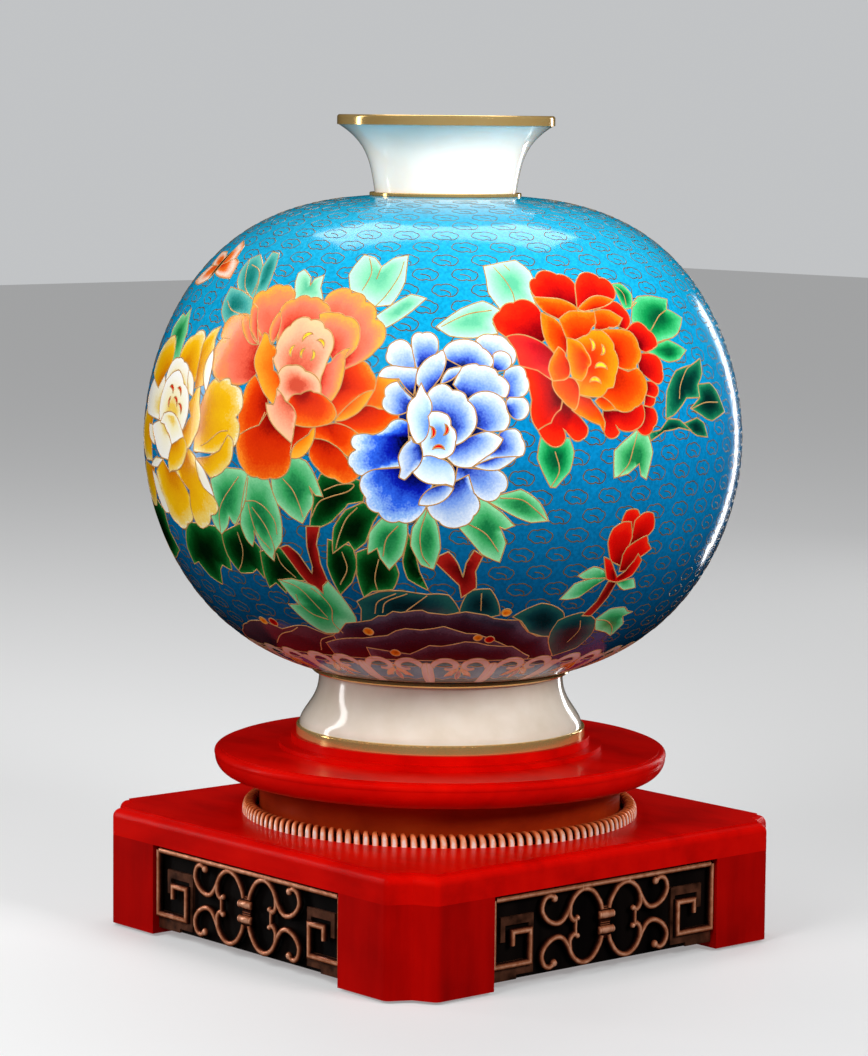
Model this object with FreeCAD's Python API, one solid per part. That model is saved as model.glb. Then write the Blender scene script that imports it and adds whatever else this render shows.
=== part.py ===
import FreeCAD, Part
import math
import os

# Cloisonne vase on its turntable stand. Millimetres, +Z up.
# The origin is on the surface that the stand rests on, under the axis of the vase.
# The stand's four faces are square to X and Y.

# ---- stand base
BASE_HALF = 84.0          # axis to an outer face
BASE_HEIGHT = 40.8        # floor to the top board's upper face
BOARD_THICKNESS = 9.5     # top board
BOARD_STEP = 0.6          # raised field of the top board above its moulded edge
BOARD_INSET = 3.0         # outer face to the edge of the raised field
BOARD_ROUND = 2.8         # radius of the moulded edge
CORNER_LOBE = 11.5        # cut corner: start of a lobe, back from the corner along a face
CORNER_GROOVE = 7.5       # cut corner: bottom of the V groove, in from both faces
LOBE_ROUND = 2.5          # radius of the two lobes beside the groove
LEG_WIDTH = 35.0
PAD_RADIUS = 9.0
PAD_THICKNESS = 1.0
DOWEL_RADIUS = 4.0
DOWEL_LENGTH = 18.0
DOWEL_RISE = 4.5          # how far a leg dowel goes up into the top board
APRON_THICKNESS = 5.0
APRON_CLEARANCE = 3.0     # floor to the apron's lower edge

# ---- openwork panels, one on each face
PANEL_SETBACK = 1.0       # outer face to the panel's front
PANEL_THICKNESS = 1.6
PANEL_DROP = 0.7          # top board to the panel's top bar
PANEL_HEIGHT = 23.5       # height of the frame of bars
BAR_WIDTH = 1.9
FRET_WIDTH = 17.4         # square spiral at each end, across
FRET_RISE = 12.3          # from its lower edge to the inner hook's top
FRET_HOOK = 9.4           # length of the inner hook
FRET_TIP = 5.2            # length of the spiral's last stroke
SCROLL_WIDTH = 1.7        # bar width of the central cloud scroll
BARREL_LENGTH = 6.4       # two small barrels that tie the scroll's waist
BARREL_RADIUS = 1.1
BARREL_SPACING = 2.5      # scroll's centre to a barrel's axis
SCROLL_DROP = 2.25        # middle of the frame of bars to the scroll's centre
LINK_OFFSET = 14.2        # scroll's centre to the upright that joins each side's two hooks
LINK_HALF_HEIGHT = 3.0
WAIST_HALF_HEIGHT = 6.0   # upright at the scroll's centre
TIE_OFFSET = 10.3         # scroll's centre to the ties that hold it to the top bar
TIE_BASE = 11.5
TIE_WIDTH = 2.0
BACKING_THICKNESS = 1.0
BACKING_BAND = 2.8        # width of the backing's upper strip
BACKING_OVERHANG = 1.3    # backing's spiral stands this far inside the front spiral
LEDGE_DROP = 4.1          # backing below the front frame

# ---- bearing between base and turntable
RACE_INNER_RADIUS = 28.0
RACE_OUTER_RADIUS = 48.0
RACE_THICKNESS = 2.8
RACE_SPACING = 1.2        # free height between the two races
BALL_RADIUS = 2.5
BALL_PITCH_RADIUS = 38.0
BALL_COUNT = 20
RUNNING_GAP = 0.15        # ball to groove
POCKET_DEPTH = 5.0        # recess in the top board for the lower race
POCKET_GAP = 2.0          # race's rim to the recess's wall
SCREW_COUNT = 4
SCREW_PITCH_RADIUS = 44.5
SCREW_RADIUS = 1.4
SCREW_HEAD_RADIUS = 2.4
SCREW_HEAD_HEIGHT = 1.2
SCREW_BITE_LOWER = 3.2    # thread length in the top board
SCREW_BITE_UPPER = 6.0    # thread length in the hub
BOLT_RADIUS = 3.0
BOLT_HEAD_RADIUS = 6.5
BOLT_HEAD_HEIGHT = 3.2
BOLT_CLEARANCE = 0.08     # radial, in the board and in the hub
WASHER_RADIUS = 7.0
WASHER_THICKNESS = 1.0
WASHER_GAP = 0.3          # washer to the hub, so that the hub can turn
NUT_RADIUS = 5.5
NUT_HEIGHT = 3.2
BOLT_TAIL = 1.0           # bolt above the nut

# ---- gadrooned ring round the hub
RING_INNER_RADIUS = 62.0
RING_WIDTH = 4.7
RING_HEIGHT = 4.2

# ---- turntable
HUB_RING_GAP = 1.1        # hub to the gadrooned ring, radial
HUB_LIFT = 0.8            # free height between base and hub
HUB_HEIGHT = 12.7
HUB_FLARE = 3.6           # how far the cove spreads under the disc
HUB_COVE = 7.0            # height of the cove
COVE_MIDDLE = (0.3, 0.38)     # the cove's middle: share of its flare, share of its height from the disc
NUT_WELL_RADIUS = 9.0
NUT_WELL_FLOOR = 6.4      # hub's underside to the floor of the nut's well
DISC_RADIUS = 76.0
DISC_THICKNESS = 9.0
DISC_NOSE = 6.2           # height of the under half of the rounded edge
DISC_TUCK = 7.0           # how far the rounded edge draws in underneath
NOSE_MIDDLE = (0.25, 0.3)     # middle of the rounded edge: share of its tuck, share of its height
CROWN_MIDDLE = (0.28, 0.28)   # middle of the edge's upper quarter: share in from the edge, share down
RIM_LINE_INSET = 1.35     # disc's edge to the fine line on its top
RIM_LINE_DEPTH = 0.35
RIM_LINE_WIDTH = 0.7
STEP_RADIUS = 54.4
STEP_HEIGHT = 1.5
PLINTH_RADIUS = 50.3
PLINTH_HEIGHT = 2.9
DISC_DOWEL_RADIUS = 3.0
DISC_DOWEL_PITCH = 30.0
DISC_DOWEL_HALF_LENGTH = 5.0

# ---- vase body: each half is a superellipse of revolution
BODY_RADIUS = 100.0
BODY_RISE = 81.1          # widest section to the upper pole
BODY_DROP = 80.9          # widest section to the lower pole
UPPER_POWERS = (3.2, 1.86)    # of the radius and of the height
LOWER_POWERS = (2.86, 1.9)
ENAMEL = 0.8              # enamel on the outside
COPPER = 1.0              # copper wall
LINING = 0.4              # counter-enamel inside

# ---- vase neck
NECK_RADIUS = 23.4
NECK_RING_RADIUS = 25.3
NECK_RING_HEIGHT = 1.0
NECK_RING_ROUND = 0.4
NECK_HEIGHT = 23.2        # body to the lower edge of the lip band
MOUTH_RADIUS = 35.7
NECK_STRAIGHT_SHARE = 0.3 # share of the neck's flare that is even; the rest gathers under the lip
NECK_FLARE_POWER = 4.0
LIP_OVERHANG = 0.5        # lip band beyond the enamel
LIP_HEIGHT = 3.3
LIP_ROUND = 0.9
LIP_FLARE = 2.0           # how far the lip's inside opens over its height

# ---- vase foot
FOOT_HEIGHT = 22.9        # plinth to the body
FOOT_TOP_RADIUS = 41.0
FOOT_RADIUS = 47.6
FOOT_FLARE_POWER = 1.7
BEAD_OVERHANG = 2.7
BEAD_HEIGHT = 1.5
FOOT_BAND_HEIGHT = 3.2
FOOT_BAND_OVERHANG = 1.0
FOOT_BAND_ROUND = 0.6

# ---- levels that follow from the sizes above
BOARD_UNDERSIDE = BASE_HEIGHT - BOARD_THICKNESS
POCKET_FLOOR = BASE_HEIGHT - POCKET_DEPTH
LOWER_RACE_TOP = POCKET_FLOOR + RACE_THICKNESS
UPPER_RACE_BOTTOM = LOWER_RACE_TOP + RACE_SPACING
UPPER_RACE_TOP = UPPER_RACE_BOTTOM + RACE_THICKNESS
BALL_LEVEL = (LOWER_RACE_TOP + UPPER_RACE_BOTTOM) / 2
HUB_UNDERSIDE = BASE_HEIGHT + HUB_LIFT
DISC_UNDERSIDE = HUB_UNDERSIDE + HUB_HEIGHT
DISC_TOP = DISC_UNDERSIDE + DISC_THICKNESS
STEP_TOP = DISC_TOP + STEP_HEIGHT
PLINTH_TOP = STEP_TOP + PLINTH_HEIGHT
PANEL_TOP = BOARD_UNDERSIDE - PANEL_DROP
PANEL_BOTTOM = PANEL_TOP - PANEL_HEIGHT
PANEL_HALF = BASE_HALF - LEG_WIDTH
PANEL_FRONT = BASE_HALF - PANEL_SETBACK
PANEL_REAR = PANEL_FRONT - PANEL_THICKNESS
BACKING_REAR = PANEL_REAR - BACKING_THICKNESS
APRON_REAR = BACKING_REAR - APRON_THICKNESS

SIDES = ("front", "right", "rear", "left")
AXIS = FreeCAD.Vector(0, 0, 1)
ORIGIN = FreeCAD.Vector(0, 0, 0)
MARGIN = 10.0             # cutting tools reach this far past what they cut


def body_depth(radius, extent, powers):
    """Height of a body half above or below its widest section, at a radius."""
    share = (radius / BODY_RADIUS) ** powers[0]
    return extent * (1.0 - share) ** (1.0 / powers[1])


WIDEST = PLINTH_TOP + FOOT_HEIGHT + body_depth(FOOT_TOP_RADIUS + BEAD_OVERHANG, BODY_DROP, LOWER_POWERS)
NECK_BASE = WIDEST + body_depth(NECK_RADIUS, BODY_RISE, UPPER_POWERS)
LIP_BASE = NECK_BASE + NECK_HEIGHT
FOOT_TOP = PLINTH_TOP + FOOT_HEIGHT


# ---- helpers

def vec(x, y, z):
    return FreeCAD.Vector(x, y, z)


def cylinder(radius, z_low, z_high, x=0.0, y=0.0):
    return Part.makeCylinder(radius, z_high - z_low, vec(x, y, z_low))


def tube(inner, outer, z_low, z_high):
    return cylinder(outer, z_low, z_high).cut(cylinder(inner, z_low - MARGIN, z_high + MARGIN))


def box(x_low, x_high, y_low, y_high, z_low, z_high):
    return Part.makeBox(x_high - x_low, y_high - y_low, z_high - z_low, vec(x_low, y_low, z_low))


def line(start, end):
    return Part.LineSegment(start, end).toShape()


def spline(points, start_tangent=None, end_tangent=None):
    curve = Part.BSplineCurve()
    if start_tangent is None:
        curve.interpolate(points)
    else:
        curve.interpolate(Points=points, InitialTangent=start_tangent, FinalTangent=end_tangent)
    return curve.toShape()


def arc(start, middle, end):
    return Part.Arc(start, middle, end).toShape()


def turned(edges):
    """Solid of revolution of a closed outline in the XZ half plane."""
    face = Part.Face(Part.Wire(edges))
    return face.revolve(ORIGIN, AXIS, 360)


def polygon(points):
    closed = points + points[:1]
    return [line(a, b) for a, b in zip(closed, closed[1:])]


def turned_polygon(pairs):
    return turned(polygon([vec(r, 0, z) for r, z in pairs]))


def fused(shapes):
    """One shape from several, as a single solid where they meet."""
    first, rest = shapes[0], shapes[1:]
    return (first.multiFuse(rest) if rest else first).removeSplitter()


def quarter_turn(shape, index):
    copy = shape.copy()
    copy.rotate(ORIGIN, AXIS, 90 * index)
    return copy


def on_circle(radius, count, start_angle=0.0):
    for index in range(count):
        angle = math.radians(start_angle + 360.0 * index / count)
        yield radius * math.cos(angle), radius * math.sin(angle)


# ---- vase body

def half_profile(extent, powers, side, inset):
    """Points of a body half, inset along its normal, from the pole to the widest section."""
    points = []
    steps = 14
    for step in range(steps + 1):
        angle = math.radians(90.0 * step / steps)
        radius = BODY_RADIUS * math.sin(angle) ** (2.0 / powers[0])
        height = extent * max(math.cos(angle), 0.0) ** (2.0 / powers[1])
        if step == steps:
            height = 0.0
        slope_r = powers[0] / BODY_RADIUS * (radius / BODY_RADIUS) ** (powers[0] - 1.0)
        slope_z = powers[1] / extent * (height / extent) ** (powers[1] - 1.0)
        length = math.hypot(slope_r, slope_z)
        radius -= inset * slope_r / length
        height -= inset * slope_z / length
        points.append(vec(radius, 0, WIDEST + side * height))
    return points


def body_solid(inset):
    """The whole body as a solid, its surface inset along the normal."""
    upper = half_profile(BODY_RISE, UPPER_POWERS, 1, inset)
    lower = half_profile(BODY_DROP, LOWER_POWERS, -1, inset)
    upper_edge = spline(upper, vec(1, 0, 0), vec(0, 0, -1))
    lower_edge = spline(lower, vec(1, 0, 0), vec(0, 0, 1))
    axis_edge = line(lower[0], upper[0])
    return turned([axis_edge, upper_edge, lower_edge])


def body_layer(outer_inset, inner_inset):
    return body_solid(outer_inset).cut(body_solid(inner_inset))


def above(z):
    reach = BODY_RADIUS + MARGIN
    return box(-reach, reach, -reach, reach, z, z + 4 * reach)


def neck_radius(share):
    """Outer radius of the neck; share runs from 0 at the body to 1 at the lip band."""
    gathered = (1.0 - NECK_STRAIGHT_SHARE) * share ** NECK_FLARE_POWER
    flare = NECK_STRAIGHT_SHARE * share + gathered
    return NECK_RADIUS + (MOUTH_RADIUS - NECK_RADIUS) * flare


def neck_slope(share):
    gathered_rate = (1.0 - NECK_STRAIGHT_SHARE) * NECK_FLARE_POWER * share ** (NECK_FLARE_POWER - 1.0)
    flare_rate = NECK_STRAIGHT_SHARE + gathered_rate
    return (MOUTH_RADIUS - NECK_RADIUS) * flare_rate / NECK_HEIGHT


def neck_solid(inset):
    """Inside of the neck's outline, inset along its normal, down into the body."""
    root = vec(neck_radius(0) - inset, 0, NECK_BASE - MARGIN)
    points = []
    steps = 10
    for step in range(steps + 1):
        share = step / steps
        radius = neck_radius(share) - inset * math.hypot(1.0, neck_slope(share))
        points.append(vec(radius, 0, NECK_BASE + NECK_HEIGHT * share))
    bottom = vec(0, 0, root.z)
    top = vec(0, 0, LIP_BASE)
    edges = [line(bottom, root), line(root, points[0]), spline(points)]
    edges += [line(points[-1], top), line(top, bottom)]
    return turned(edges)


def mouth_inner_radius():
    wall = ENAMEL + COPPER + LINING
    return neck_radius(1.0) - wall * math.hypot(1.0, neck_slope(1.0))


def foot_radius(share):
    """Outer radius of the foot; share runs from 0 at the body to 1 at the foot band."""
    flare = (1.0 - math.cos(math.pi * share ** FOOT_FLARE_POWER)) / 2.0
    return FOOT_TOP_RADIUS + (FOOT_RADIUS - FOOT_TOP_RADIUS) * flare


def foot_solid(inset):
    """Inside of the foot's outline, up into the body."""
    band_top = PLINTH_TOP + FOOT_BAND_HEIGHT
    head = vec(foot_radius(0) - inset, 0, FOOT_TOP + MARGIN)
    toe = vec(foot_radius(1.0) - inset, 0, PLINTH_TOP)
    points = []
    steps = 10
    for step in range(steps + 1):
        share = step / steps
        points.append(vec(foot_radius(share) - inset, 0, FOOT_TOP - (FOOT_TOP - band_top) * share))
    bottom = vec(0, 0, PLINTH_TOP)
    top = vec(0, 0, head.z)
    edges = [line(top, head), line(head, points[0]), spline(points), line(points[-1], toe)]
    edges += [line(toe, bottom), line(bottom, top)]
    return turned(edges)


def vase_nodes():
    copper_outer = body_solid(ENAMEL)
    body_outer = body_solid(0.0)
    neck_bore = neck_solid(ENAMEL + COPPER)
    neck_copper = neck_solid(ENAMEL)
    foot_copper = foot_solid(ENAMEL)
    foot_bore = foot_solid(ENAMEL + COPPER)
    shell = body_layer(ENAMEL, ENAMEL + COPPER).cut(neck_bore)
    upper_half = above(WIDEST)
    neck_tube = neck_copper.cut(neck_bore).cut(copper_outer)
    foot_tube = foot_copper.cut(foot_bore).cut(copper_outer)
    ring_top = NECK_BASE + NECK_RING_HEIGHT
    neck_ring = tube(neck_radius(0) - ENAMEL - COPPER, NECK_RING_RADIUS, WIDEST, ring_top).cut(body_outer)
    neck_ring = neck_ring.makeFillet(NECK_RING_ROUND, [top_outer_edge(neck_ring)]).cut(neck_copper)
    neck_enamel = neck_solid(0.0).cut(neck_copper).common(above(ring_top))
    foot_body = foot_solid(0.0).cut(foot_copper)
    band_top = PLINTH_TOP + FOOT_BAND_HEIGHT
    foot_enamel = foot_body.common(above(band_top)).cut(body_outer)
    bead = turned_polygon(bead_outline()).cut(body_outer)
    body_enamel = body_layer(0.0, ENAMEL)
    underside = body_enamel.common(foot_bore)
    body_enamel = body_enamel.cut(neck_copper).cut(foot_copper)
    lining_bore = neck_solid(ENAMEL + COPPER + LINING)
    wall = ENAMEL + COPPER
    body_lining = body_layer(wall, wall + LINING)
    neck_lining = neck_bore.cut(body_solid(wall + LINING))
    lining = body_lining.fuse(neck_lining).cut(lining_bore)
    return {
        "copper_shell_upper": shell.common(upper_half),
        "copper_shell_lower": shell.cut(upper_half),
        "copper_neck": neck_tube,
        "copper_foot": foot_tube,
        "body_enamel": body_enamel,
        "neck_enamel": neck_enamel,
        "foot_enamel": foot_enamel,
        "inner_lining": lining.removeSplitter(),
        "underside_enamel": underside,
        "lip_band": lip_band(),
        "neck_ring": neck_ring,
        "foot_bead": bead,
        "foot_band": foot_band(),
    }


def top_outer_edge(shape):
    """The highest full circle of largest radius."""
    circles = [edge for edge in shape.Edges if isinstance(edge.Curve, Part.Circle)]
    return max(circles, key=lambda edge: (round(edge.BoundBox.ZMax, 3), edge.Curve.Radius))


def bead_outline():
    inner = foot_radius(0)
    outer = FOOT_TOP_RADIUS + BEAD_OVERHANG
    low = FOOT_TOP - BEAD_HEIGHT
    bevel = BEAD_HEIGHT / 3
    edge = [(outer - bevel, low), (outer, low + bevel), (outer, FOOT_TOP), (outer - bevel, FOOT_TOP + bevel)]
    return [(inner, low)] + edge + [(inner, FOOT_TOP + MARGIN / 4)]


def lip_band():
    inner_low = mouth_inner_radius()
    inner_high = inner_low + LIP_FLARE
    outer = MOUTH_RADIUS + LIP_OVERHANG
    top = LIP_BASE + LIP_HEIGHT
    band = turned_polygon([(inner_low, LIP_BASE), (outer, LIP_BASE), (outer, top), (inner_high, top)])
    return band.makeFillet(LIP_ROUND, [top_outer_edge(band)])


def foot_band():
    inner = foot_radius(1.0) - ENAMEL
    outer = FOOT_RADIUS + FOOT_BAND_OVERHANG
    band = tube(inner, outer, PLINTH_TOP, PLINTH_TOP + FOOT_BAND_HEIGHT)
    return band.makeFillet(FOOT_BAND_ROUND, [top_outer_edge(band)])


# ---- turntable

def disc():
    top = DISC_TOP
    shoulder = DISC_UNDERSIDE + DISC_NOSE
    tuck = DISC_RADIUS - DISC_TUCK
    lip = DISC_RADIUS - RIM_LINE_INSET
    line_out = lip - RIM_LINE_WIDTH
    nose_mid = vec(DISC_RADIUS - DISC_TUCK * NOSE_MIDDLE[0], 0, DISC_UNDERSIDE + DISC_NOSE * NOSE_MIDDLE[1])
    crown_in = RIM_LINE_INSET * CROWN_MIDDLE[0]
    crown_mid = vec(DISC_RADIUS - crown_in, 0, top - (top - shoulder) * CROWN_MIDDLE[1])
    points = [vec(0, 0, PLINTH_TOP), vec(PLINTH_RADIUS, 0, PLINTH_TOP), vec(PLINTH_RADIUS, 0, STEP_TOP)]
    points += [vec(STEP_RADIUS, 0, STEP_TOP), vec(STEP_RADIUS, 0, DISC_TOP), vec(line_out, 0, DISC_TOP)]
    points += [vec(line_out, 0, top - RIM_LINE_DEPTH), vec(lip, 0, top - RIM_LINE_DEPTH)]
    edges = [line(a, b) for a, b in zip(points, points[1:])]
    edges.append(arc(points[-1], crown_mid, vec(DISC_RADIUS, 0, shoulder)))
    edges.append(arc(vec(DISC_RADIUS, 0, shoulder), nose_mid, vec(tuck, 0, DISC_UNDERSIDE)))
    edges.append(line(vec(tuck, 0, DISC_UNDERSIDE), vec(0, 0, DISC_UNDERSIDE)))
    edges.append(line(vec(0, 0, DISC_UNDERSIDE), points[0]))
    return turned(edges)


def hub():
    radius = RING_INNER_RADIUS - HUB_RING_GAP
    flare = radius + HUB_FLARE
    cove_low = DISC_UNDERSIDE - HUB_COVE
    cove_mid = vec(radius + HUB_FLARE * COVE_MIDDLE[0], 0, DISC_UNDERSIDE - HUB_COVE * COVE_MIDDLE[1])
    start = vec(0, 0, HUB_UNDERSIDE)
    rim = vec(radius, 0, HUB_UNDERSIDE)
    neck = vec(radius, 0, cove_low)
    lip = vec(flare, 0, DISC_UNDERSIDE)
    end = vec(0, 0, DISC_UNDERSIDE)
    edges = [line(start, rim), line(rim, neck), arc(neck, cove_mid, lip), line(lip, end), line(end, start)]
    body = turned(edges)
    body = body.cut(cylinder(RACE_OUTER_RADIUS + POCKET_GAP, HUB_UNDERSIDE - MARGIN, UPPER_RACE_TOP))
    body = body.cut(cylinder(BOLT_RADIUS + BOLT_CLEARANCE, HUB_UNDERSIDE - MARGIN, DISC_UNDERSIDE + MARGIN))
    well_floor = HUB_UNDERSIDE + NUT_WELL_FLOOR
    return body.cut(cylinder(NUT_WELL_RADIUS, well_floor, DISC_UNDERSIDE + MARGIN))


def race(z_low):
    ring = tube(RACE_INNER_RADIUS, RACE_OUTER_RADIUS, z_low, z_low + RACE_THICKNESS)
    groove = Part.makeTorus(BALL_PITCH_RADIUS, BALL_RADIUS + RUNNING_GAP, vec(0, 0, BALL_LEVEL))
    return ring.cut(groove)


def screws(head_z, direction, bite, start_angle):
    """Race screws; the head lies flush in the race and the shank goes on into the wood."""
    reach = RACE_THICKNESS + bite
    group = []
    for x, y in on_circle(SCREW_PITCH_RADIUS, SCREW_COUNT, start_angle):
        place = vec(x, y, head_z)
        head = Part.makeCylinder(SCREW_HEAD_RADIUS, SCREW_HEAD_HEIGHT, place, vec(0, 0, direction))
        shank = Part.makeCylinder(SCREW_RADIUS, reach, place, vec(0, 0, direction))
        group.append(head.fuse(shank).removeSplitter())
    return group


def disc_dowels():
    low = DISC_UNDERSIDE - DISC_DOWEL_HALF_LENGTH
    high = DISC_UNDERSIDE + DISC_DOWEL_HALF_LENGTH
    return [cylinder(DISC_DOWEL_RADIUS, low, high, x, y) for x, y in on_circle(DISC_DOWEL_PITCH, 3, 30.0)]


def turntable_nodes():
    upper_screws = screws(UPPER_RACE_BOTTOM, 1, SCREW_BITE_UPPER, 45.0)
    dowels = disc_dowels()
    return {
        "turntable_disc": disc().cut(dowels),
        "turntable_hub": hub().cut(upper_screws + dowels),
        "bearing_race_upper": race(UPPER_RACE_BOTTOM).cut(upper_screws),
        "race_screws_upper": Part.makeCompound(upper_screws),
        "disc_dowels": Part.makeCompound(dowels),
    }


# ---- base

def base_outline(z):
    """Square with cut corners; each corner is two rounded lobes either side of a V groove."""
    lobe = BASE_HALF - CORNER_LOBE
    groove = BASE_HALF - CORNER_GROOVE
    corner = [(BASE_HALF, lobe), (groove, groove), (lobe, BASE_HALF)]
    points = []
    for index in range(4):
        angle = math.radians(90 * index)
        cosine, sine = math.cos(angle), math.sin(angle)
        points += [vec(x * cosine - y * sine, x * sine + y * cosine, z) for x, y in corner]
    return Part.Wire(polygon(points))


def is_lobe_edge(edge):
    """A vertical edge at a lobe, which is the part of a corner that lies on an outer face."""
    if len(edge.Vertexes) < 2 or edge.BoundBox.ZLength < 1.0:
        return False
    centre = edge.CenterOfMass
    return max(abs(centre.x), abs(centre.y)) > BASE_HALF - 0.5 and min(abs(centre.x), abs(centre.y)) > MARGIN


def base_block(z_low, z_high):
    block = Part.Face(base_outline(z_low)).extrude(vec(0, 0, z_high - z_low))
    return block.makeFillet(LOBE_ROUND, [edge for edge in block.Edges if is_lobe_edge(edge)])


def board():
    edge_top = BASE_HEIGHT - BOARD_STEP
    block = base_block(BOARD_UNDERSIDE, edge_top)
    rim = [edge for edge in block.Edges if edge.BoundBox.ZMin > edge_top - 0.01]
    block = block.makeFillet(BOARD_ROUND, rim)
    field = raised_field(edge_top - BOARD_STEP)
    block = block.fuse(field).removeSplitter()
    pocket = cylinder(RACE_OUTER_RADIUS + POCKET_GAP, POCKET_FLOOR, BASE_HEIGHT + MARGIN)
    bore = cylinder(BOLT_RADIUS + BOLT_CLEARANCE, BOARD_UNDERSIDE - MARGIN, BASE_HEIGHT + MARGIN)
    return block.cut(pocket).cut(bore)


def raised_field(z_low):
    """The top board's raised field: the base's outline, drawn in all round."""
    outline = base_outline(z_low).makeOffset2D(-BOARD_INSET, 2)
    return Part.Face(outline).extrude(vec(0, 0, BASE_HEIGHT - z_low))


def leg(index):
    block = base_block(PAD_THICKNESS, BOARD_UNDERSIDE)
    reach = BASE_HALF + MARGIN
    corner = box(PANEL_HALF, reach, PANEL_HALF, reach, 0, BASE_HEIGHT)
    return quarter_turn(block.common(corner), index)


def corner_centres():
    place = BASE_HALF - LEG_WIDTH / 2
    return [(place, place), (-place, place), (-place, -place), (place, -place)]


def leg_dowels():
    high = BOARD_UNDERSIDE + DOWEL_RISE
    return [cylinder(DOWEL_RADIUS, high - DOWEL_LENGTH, high, x, y) for x, y in corner_centres()]


def balls():
    places = on_circle(BALL_PITCH_RADIUS, BALL_COUNT)
    return [Part.makeSphere(BALL_RADIUS, vec(x, y, BALL_LEVEL)) for x, y in places]


def washer_base():
    return HUB_UNDERSIDE + NUT_WELL_FLOOR + WASHER_GAP


def pivot_bolt():
    tail = washer_base() + WASHER_THICKNESS + NUT_HEIGHT + BOLT_TAIL
    head = cylinder(BOLT_HEAD_RADIUS, BOARD_UNDERSIDE - BOLT_HEAD_HEIGHT, BOARD_UNDERSIDE)
    return head.fuse(cylinder(BOLT_RADIUS, BOARD_UNDERSIDE - BOLT_HEAD_HEIGHT, tail)).removeSplitter()


def pivot_nut():
    low = washer_base() + WASHER_THICKNESS
    corners = [vec(x, y, low) for x, y in on_circle(NUT_RADIUS, 6)]
    prism = Part.Face(Part.Wire(polygon(corners))).extrude(vec(0, 0, NUT_HEIGHT))
    return prism.cut(cylinder(BOLT_RADIUS, low - MARGIN, low + MARGIN))


def gadrooned_ring():
    """Half-round ring standing on the top board."""
    inner = RING_INNER_RADIUS
    outer = RING_INNER_RADIUS + RING_WIDTH
    top = BASE_HEIGHT + RING_HEIGHT
    shoulder = BASE_HEIGHT + RING_HEIGHT * 0.45
    low_in, low_out = vec(inner, 0, BASE_HEIGHT), vec(outer, 0, BASE_HEIGHT)
    high_in, high_out = vec(inner, 0, shoulder), vec(outer, 0, shoulder)
    crown = arc(high_out, vec((inner + outer) / 2, 0, top), high_in)
    return turned([line(low_in, low_out), line(low_out, high_out), crown, line(high_in, low_in)])


# ---- openwork panels: drawn in the XZ plane of the front face, x across and z up

def panel_block(x_low, x_high, z_low, z_high, front=PANEL_FRONT, rear=PANEL_REAR):
    return box(min(x_low, x_high), max(x_low, x_high), -front, -rear, min(z_low, z_high), max(z_low, z_high))


def fret(side):
    """Square spiral at one end of the panel; side is -1 or 1."""
    bar = BAR_WIDTH
    outer = side * PANEL_HALF
    inner = side * (PANEL_HALF - FRET_WIDTH)
    hook_top = PANEL_BOTTOM + FRET_RISE
    hook_end = inner + side * FRET_HOOK
    return [
        panel_block(outer, outer - side * bar, PANEL_BOTTOM, PANEL_TOP),
        panel_block(outer, inner, PANEL_BOTTOM, PANEL_BOTTOM + bar),
        panel_block(inner, inner + side * bar, PANEL_BOTTOM, hook_top),
        panel_block(inner, hook_end, hook_top - bar, hook_top),
        panel_block(hook_end, hook_end - side * bar, hook_top - FRET_TIP, hook_top),
    ]


def stroke(points, width):
    """Flat bar of the panel's thickness that follows a smooth path across the panel."""
    middle = -(PANEL_FRONT + PANEL_REAR) / 2
    path = spline([vec(x, middle, z) for x, z in points])
    start = path.valueAt(path.FirstParameter)
    along = path.tangentAt(path.FirstParameter)
    across = along.cross(vec(0, 1, 0)) * (width / 2)
    depth = vec(0, PANEL_THICKNESS / 2, 0)
    corners = [start + across + depth, start - across + depth, start - across - depth, start + across - depth]
    section = Part.Wire(polygon(corners))
    return Part.Wire([path]).makePipeShell([section], True, False)


def cloud_strokes():
    """One quarter of the central scroll, from its centre: the oval with its curl, and the inner hook."""
    oval = [(0.0, 5.3), (3.2, 7.8), (6.4, 11.1), (10.3, 12.0), (13.8, 9.8), (16.6, 5.2)]
    curl = [(19.0, 2.7), (22.0, 2.3), (25.6, 4.1), (27.6, 7.3), (26.6, 10.6), (24.2, 11.6), (22.3, 10.5)]
    hook = [(15.4, 7.2), (15.5, 4.0), (13.9, 2.3), (12.3, 2.9)]
    return [oval + curl, hook]


def scroll():
    middle = (PANEL_TOP + PANEL_BOTTOM) / 2 - SCROLL_DROP
    half_bar = SCROLL_WIDTH / 2
    half_tie = TIE_WIDTH / 2
    pieces = [panel_block(-SCROLL_WIDTH, SCROLL_WIDTH, middle - WAIST_HALF_HEIGHT, middle + WAIST_HALF_HEIGHT)]
    for across in (-1, 1):
        link = across * LINK_OFFSET
        tie = across * TIE_OFFSET
        link_low, link_high = middle - LINK_HALF_HEIGHT, middle + LINK_HALF_HEIGHT
        pieces.append(panel_block(link - half_bar, link + half_bar, link_low, link_high))
        pieces.append(panel_block(tie - half_tie, tie + half_tie, middle + TIE_BASE, PANEL_TOP))
        for up in (-1, 1):
            for path in cloud_strokes():
                pieces.append(stroke([(across * x, middle + up * z) for x, z in path], SCROLL_WIDTH))
    for up in (-1, 1):
        place = vec(-BARREL_LENGTH / 2, -(PANEL_FRONT - BARREL_RADIUS / 2), middle + up * BARREL_SPACING)
        pieces.append(Part.makeCylinder(BARREL_RADIUS, BARREL_LENGTH, place, vec(1, 0, 0)))
    return pieces


def openwork_panel(index):
    top_bar = panel_block(-PANEL_HALF, PANEL_HALF, PANEL_TOP - BAR_WIDTH, PANEL_TOP)
    return quarter_turn(fused([top_bar] + fret(-1) + fret(1) + scroll()), index)


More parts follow.
